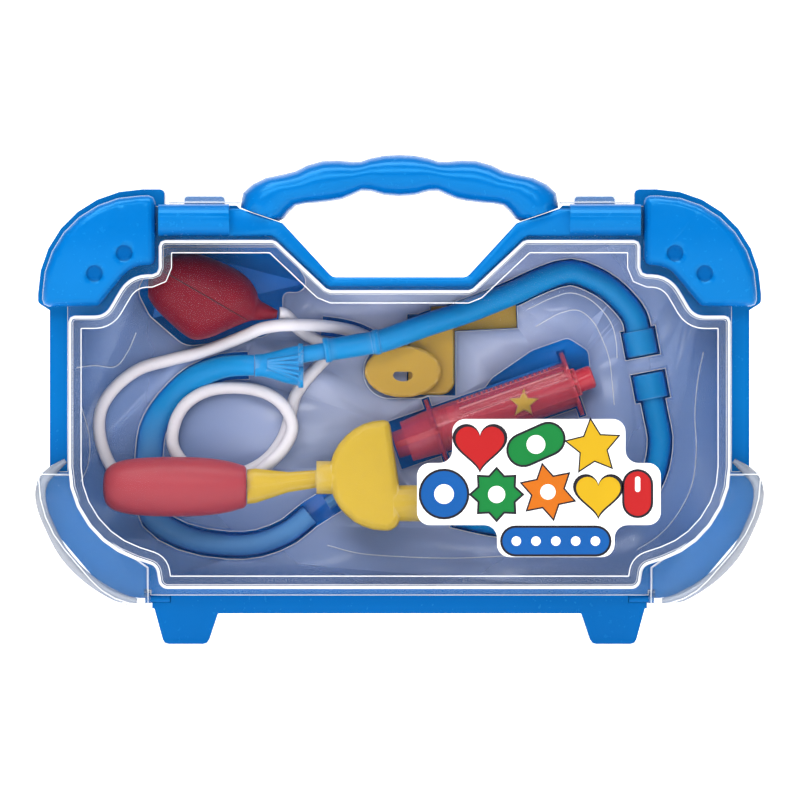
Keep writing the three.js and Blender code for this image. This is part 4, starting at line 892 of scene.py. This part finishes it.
GRIP_START = Vector((-139.2, 0, 73.7)) * MM
GRIP_LENGTH = 67.3
GRIP_RADIUS = 14.0
GRIP_SHARES = [
    [0, 0.05], [0.004, 0.3], [0.02, 0.55], [0.06, 0.74], [0.13, 0.87], [0.28, 0.97], [0.5, 1], [0.7, 0.97],
    [0.86, 0.87], [0.955, 0.75], [0.985, 0.7], [1, 0.62],
]
GRIP_SPANS = 6
GRIP_FOLD_ANGLE = math.radians(60)


def otoscope_grip():
    low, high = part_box("otoscope_grip")
    middle = (low.y + high.y) / 2
    shape = spline([[u * GRIP_LENGTH, 0, v * GRIP_RADIUS] for u, v in GRIP_SHARES], GRIP_SPANS)
    start = GRIP_START + Vector((0, middle, 0))
    profile = [[point.x / MM, point.z / MM] for point in shape]
    form = lathe(start, Vector((1, 0, 0)), profile)
    made = piece("otoscope_grip_vinyl", *form, grip_red, "case", GRIP_FOLD_ANGLE)
    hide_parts("otoscope_grip")


otoscope_grip()


# Star, painted highlight strips and scale on the syringe barrel

SYRINGE_PLACE = Vector((16.4, 2.5, 99.5)) * MM
SYRINGE_ANGLE = math.radians(19.3)
BARREL_RADIUS = 10.8
STAR_ALONG, STAR_ANGLE = 44.0, -0.12
STAR_OUTER, STAR_INNER = 7.4, 3.2
STAR_POINTS, STAR_ROWS = 5, 5
PRINT_LIFT = 0.25
PRINT_THICKNESS = 0.2


def barrel_point(along, angle, lift):
    """A point on the barrel, angle round from its front line."""
    axis = Vector((math.cos(SYRINGE_ANGLE), 0, math.sin(SYRINGE_ANGLE)))
    up = Vector((-axis.z, 0, axis.x))
    radius = (BARREL_RADIUS + lift) * MM
    front = Vector((0, radius * math.cos(angle), 0))
    return SYRINGE_PLACE + axis * along * MM + up * radius * math.sin(angle) - front


def thicken(made):
    thick = made.modifiers.new("thickness", "SOLIDIFY")
    thick.thickness = PRINT_THICKNESS * MM


def barrel_star():
    """A five-pointed star wrapped on the barrel, a thin raised print."""
    count = 2 * STAR_POINTS
    verts = [barrel_point(STAR_ALONG, STAR_ANGLE, PRINT_LIFT)]
    for row in range(1, STAR_ROWS + 1):
        for k in range(count):
            turn = FULL_TURN * k / count + QUARTER - SYRINGE_ANGLE
            radius = (STAR_INNER if k % 2 else STAR_OUTER) * row / STAR_ROWS
            along = STAR_ALONG + radius * math.cos(turn)
            angle = STAR_ANGLE + radius * math.sin(turn) / BARREL_RADIUS
            verts.append(barrel_point(along, angle, PRINT_LIFT))
    faces = [(0, 1 + k, 1 + (k + 1) % count) for k in range(count)]
    for row in range(STAR_ROWS - 1):
        a, b = 1 + row * count, 1 + (row + 1) * count
        faces += [(a + k, b + k, b + (k + 1) % count, a + (k + 1) % count) for k in range(count)]
    made = piece("barrel_star", verts, faces, toy_mustard, "case")
    thicken(made)


barrel_star()


# Angles and half widths of pale strips that are painted highlights on the barrel.
HIGHLIGHT_ANGLES = (0.62, 0.98, 0.30)
HIGHLIGHT_HALF_WIDTHS = (0.055, 0.02, 0.015)
HIGHLIGHT_LIFT = 0.3
HIGHLIGHT_COLUMNS = 12
MARK_ANGLES = (1.06, 1.3)
MARK_FIRST, MARK_PITCH, MARK_COUNT, MARK_HALF = 15.0, 2.4, 20, 0.5
BARREL_FROM, BARREL_TO = 14.6, 66.4


def barrel_patch(verts, faces, along, around, lift, columns):
    """Adds a thin skin between two places along the barrel and two angles round it."""
    start = len(verts)
    for i in range(columns + 1):
        place = along[0] + (along[1] - along[0]) * i / columns
        for angle in (around[0], (around[0] + around[1]) / 2, around[1]):
            verts.append(barrel_point(place, angle, lift))
    for i in range(columns):
        a, b = start + 3 * i, start + 3 * (i + 1)
        faces += [(a, b, b + 1, a + 1), (a + 1, b + 1, b + 2, a + 2)]


def barrel_marks():
    """Paler lengthwise strips on the barrel that are painted highlights, and a row of short marks above
    them.
    """
    verts, faces = [], []
    for angle, half in zip(HIGHLIGHT_ANGLES, HIGHLIGHT_HALF_WIDTHS):
        around = (angle - half, angle + half)
        barrel_patch(verts, faces, (BARREL_FROM, BARREL_TO), around, HIGHLIGHT_LIFT, HIGHLIGHT_COLUMNS)
    highlight_strips = piece("barrel_highlight_strips", verts, faces, barrel_highlight_pink, "case")
    verts, faces = [], []
    for number in range(MARK_COUNT):
        place = MARK_FIRST + number * MARK_PITCH
        along = (place - MARK_HALF, place + MARK_HALF)
        barrel_patch(verts, faces, along, MARK_ANGLES, PRINT_LIFT, 1)
    marks = piece("barrel_scale", verts, faces, toy_red, "case")
    for made in (highlight_strips, marks):
        thicken(made)


barrel_marks()


# Label art: plain shapes in printed ink, each on a black outline

LABEL_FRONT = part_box("lid_sticker")[0].y
OUTLINE_INK = 1.1
POINTED_OUTLINE = 1.4
ART_LAYER = 0.12
INK_SINK = 0.02
INK_FOLD_ANGLE = math.radians(30)
HEART_STEPS = 48
HEART_UNIT = 16


def circle(x, z, radius, steps=32):
    turns = [FULL_TURN * k / steps for k in range(steps)]
    return [(x + radius * math.cos(turn), z + radius * math.sin(turn)) for turn in turns]


def heart(x, z, size):
    """The usual heart curve, HEART_UNIT units to each side."""
    points = []
    for k in range(HEART_STEPS):
        turn = FULL_TURN * k / HEART_STEPS
        wide = HEART_UNIT * math.sin(turn) ** 3
        high = 13 * math.cos(turn) - 5 * math.cos(2 * turn) - 2 * math.cos(3 * turn) - math.cos(4 * turn)
        points.append((x + size * wide / HEART_UNIT, z + size * (high + 2) / HEART_UNIT))
    return points


def star(x, z, size, tips=5, depth=0.5, lean=0.0):
    points = []
    for k in range(2 * tips):
        turn = QUARTER + lean + math.pi * k / tips
        radius = size * (depth if k % 2 else 1)
        points.append((x + radius * math.cos(turn), z + radius * math.sin(turn)))
    return points


def pill(x, z, half_length, half_width, angle, steps=12):
    """A bar with round ends."""
    points = []
    for end in (1, -1):
        for k in range(steps + 1):
            turn = -QUARTER + math.pi * k / steps
            along = end * (half_length - half_width + half_width * math.cos(turn))
            up = end * half_width * math.sin(turn)
            points.append((
                x + along * math.cos(angle) - up * math.sin(angle),
                z + along * math.sin(angle) + up * math.cos(angle),
            ))
    return points


def print_layer(name, outlines, level, finish):
    """Thin raised ink: every outline becomes a slab that stands on the label."""
    verts, faces = [], []
    back = LABEL_FRONT - level * ART_LAYER * MM + INK_SINK * MM
    front = LABEL_FRONT - (level + 1) * ART_LAYER * MM
    for corners in outlines:
        start, count = len(verts), len(corners)
        verts += [(x * MM, y, z * MM) for y in (front, back) for x, z in corners]
        faces.append(tuple(start + k for k in range(count)))
        faces.append(tuple(start + count + k for k in reversed(range(count))))
        for k in range(count):
            n = (k + 1) % count
            faces.append((start + n, start + k, start + count + k, start + count + n))
    layer = piece(name, verts, faces, finish, "lid", INK_FOLD_ANGLE)


# Each shape: its function, its place as x and z, and its size and other arguments
TILT = math.radians(24)
LABEL_SHAPES = {
    "red": [(heart, (37.6, 92.0), (11.4,)), (pill, (111.4, 70.6), (10.4, 6.2, QUARTER))],
    "green": [(pill, (63.8, 93.6), (13.4, 7.0, TILT)), (star, (45.4, 70.2), (11.6, 8, 0.74))],
    "yellow": [(star, (90.6, 92.4), (12.6, 5, 0.5, 0.1)), (heart, (93.0, 69.4), (10.4,))],
    "blue": [(circle, (20.8, 70.4), (10.8,)), (pill, (73.1, 48.4), (25.0, 6.2, 0.0))],
    "orange": [(star, (69.4, 71.4), (12.6, 6, 0.58, 0.2))],
}
WHITE_PILLS = [(63.8, 93.6, 4.4, 4.4, TILT), (111.4, 75.0, 3.6, 1.2, QUARTER)]
WHITE_DISCS = [
    (20.8, 70.4, 4.6), (69.4, 71.4, 3.6), (45.4, 70.2, 4.0), (54.6, 48.4, 2.2), (63.8, 48.4, 2.2),
    (73.1, 48.4, 2.2), (82.4, 48.4, 2.2), (91.6, 48.4, 2.2),
]


def label_art():
    outlines = []
    for colour, entries in LABEL_SHAPES.items():
        layer = []
        for shape, (x, z), (size, *rest) in entries:
            layer.append(shape(x, z, size, *rest))
            if shape is pill:
                width, angle = rest
                outlines.append(pill(x, z, size + OUTLINE_INK, width + OUTLINE_INK, angle))
            else:
                ink = OUTLINE_INK * (1 if shape is circle else POINTED_OUTLINE)
                outlines.append(shape(x, z, size + ink, *rest))
        print_layer("label_" + colour, layer, 1, inks[colour])
    print_layer("label_outlines", outlines, 0, inks["black"])
    marks = [pill(*places) for places in WHITE_PILLS] + [circle(*places) for places in WHITE_DISCS]
    print_layer("label_marks", marks, 2, label_white)


label_art()


# Studio, in metres: a floor that sweeps up far behind, and three soft lights

FLOOR_FRONT, SWEEP_START, SWEEP_RADIUS, SWEEP_STEPS = -14.0, 10.0, 2.5, 16
STUDIO_HALF_WIDTH, STUDIO_HEIGHT = 16.0, 20.0
PAPER_SHADE, PAPER_ROUGHNESS, PAPER_GLOW = 0.9, 0.9, 0.92
SKY_GLOW = 0.22
CASE_MIDDLE = (0, 0, 0.12)
# Name, place, width and height, power in watts
LIGHTS = [
    ("key_light", (-0.9, -1.5, 1.9), (0.9, 0.7), 14),
    ("front_light", (-0.2, -3.0, 1.6), (2.4, 0.8), 43),
    ("top_light", (0, -0.5, 1.7), (1.8, 0.8), 30),
]


def look_at(thing, target):
    thing.rotation_euler = (Vector(target) - thing.location).to_track_quat("-Z", "Y").to_euler()


def area_light(name, place, size, power):
    data = bpy.data.lights.new(name, "AREA")
    data.shape = "RECTANGLE"
    data.size, data.size_y = size
    data.energy = power
    lamp = bpy.data.objects.new(name, data)
    scene.collection.objects.link(lamp)
    lamp.location = place
    look_at(lamp, CASE_MIDDLE)


def paper_sweep():
    profile = [(FLOOR_FRONT, 0.0)]
    for step in range(SWEEP_STEPS + 1):
        turn = step / SWEEP_STEPS * QUARTER
        rise = SWEEP_RADIUS * (1 - math.cos(turn))
        profile.append((SWEEP_START + SWEEP_RADIUS * math.sin(turn), rise))
    profile.append((SWEEP_START + SWEEP_RADIUS, STUDIO_HEIGHT))
    verts = [(x, y, z) for y, z in profile for x in (-STUDIO_HALF_WIDTH, STUDIO_HALF_WIDTH)]
    faces = [(2 * i, 2 * i + 1, 2 * i + 3, 2 * i + 2) for i in range(len(profile) - 1)]
    mesh = bpy.data.meshes.new("studio_sweep")
    mesh.from_pydata(verts, [], faces)
    for polygon in mesh.polygons:
        polygon.use_smooth = True
    paper, _, shader = new_material("studio_paper")
    shader.inputs["Base Color"].default_value = (PAPER_SHADE, PAPER_SHADE, PAPER_SHADE, 1)
    shader.inputs["Roughness"].default_value = PAPER_ROUGHNESS
    shader.inputs["Emission Color"].default_value = (1, 1, 1, 1)
    shader.inputs["Emission Strength"].default_value = PAPER_GLOW
    mesh.materials.append(paper)
    sweep_object = bpy.data.objects.new("studio_sweep", mesh)
    scene.collection.objects.link(sweep_object)


def studio():
    paper_sweep()
    world = bpy.data.worlds.new("studio_world")
    world.use_nodes = True
    background = world.node_tree.nodes["Background"]
    background.inputs["Color"].default_value = (1, 1, 1, 1)
    background.inputs["Strength"].default_value = SKY_GLOW
    scene.world = world
    for light in LIGHTS:
        area_light(*light)
    scene.view_settings.view_transform = "Standard"


studio()
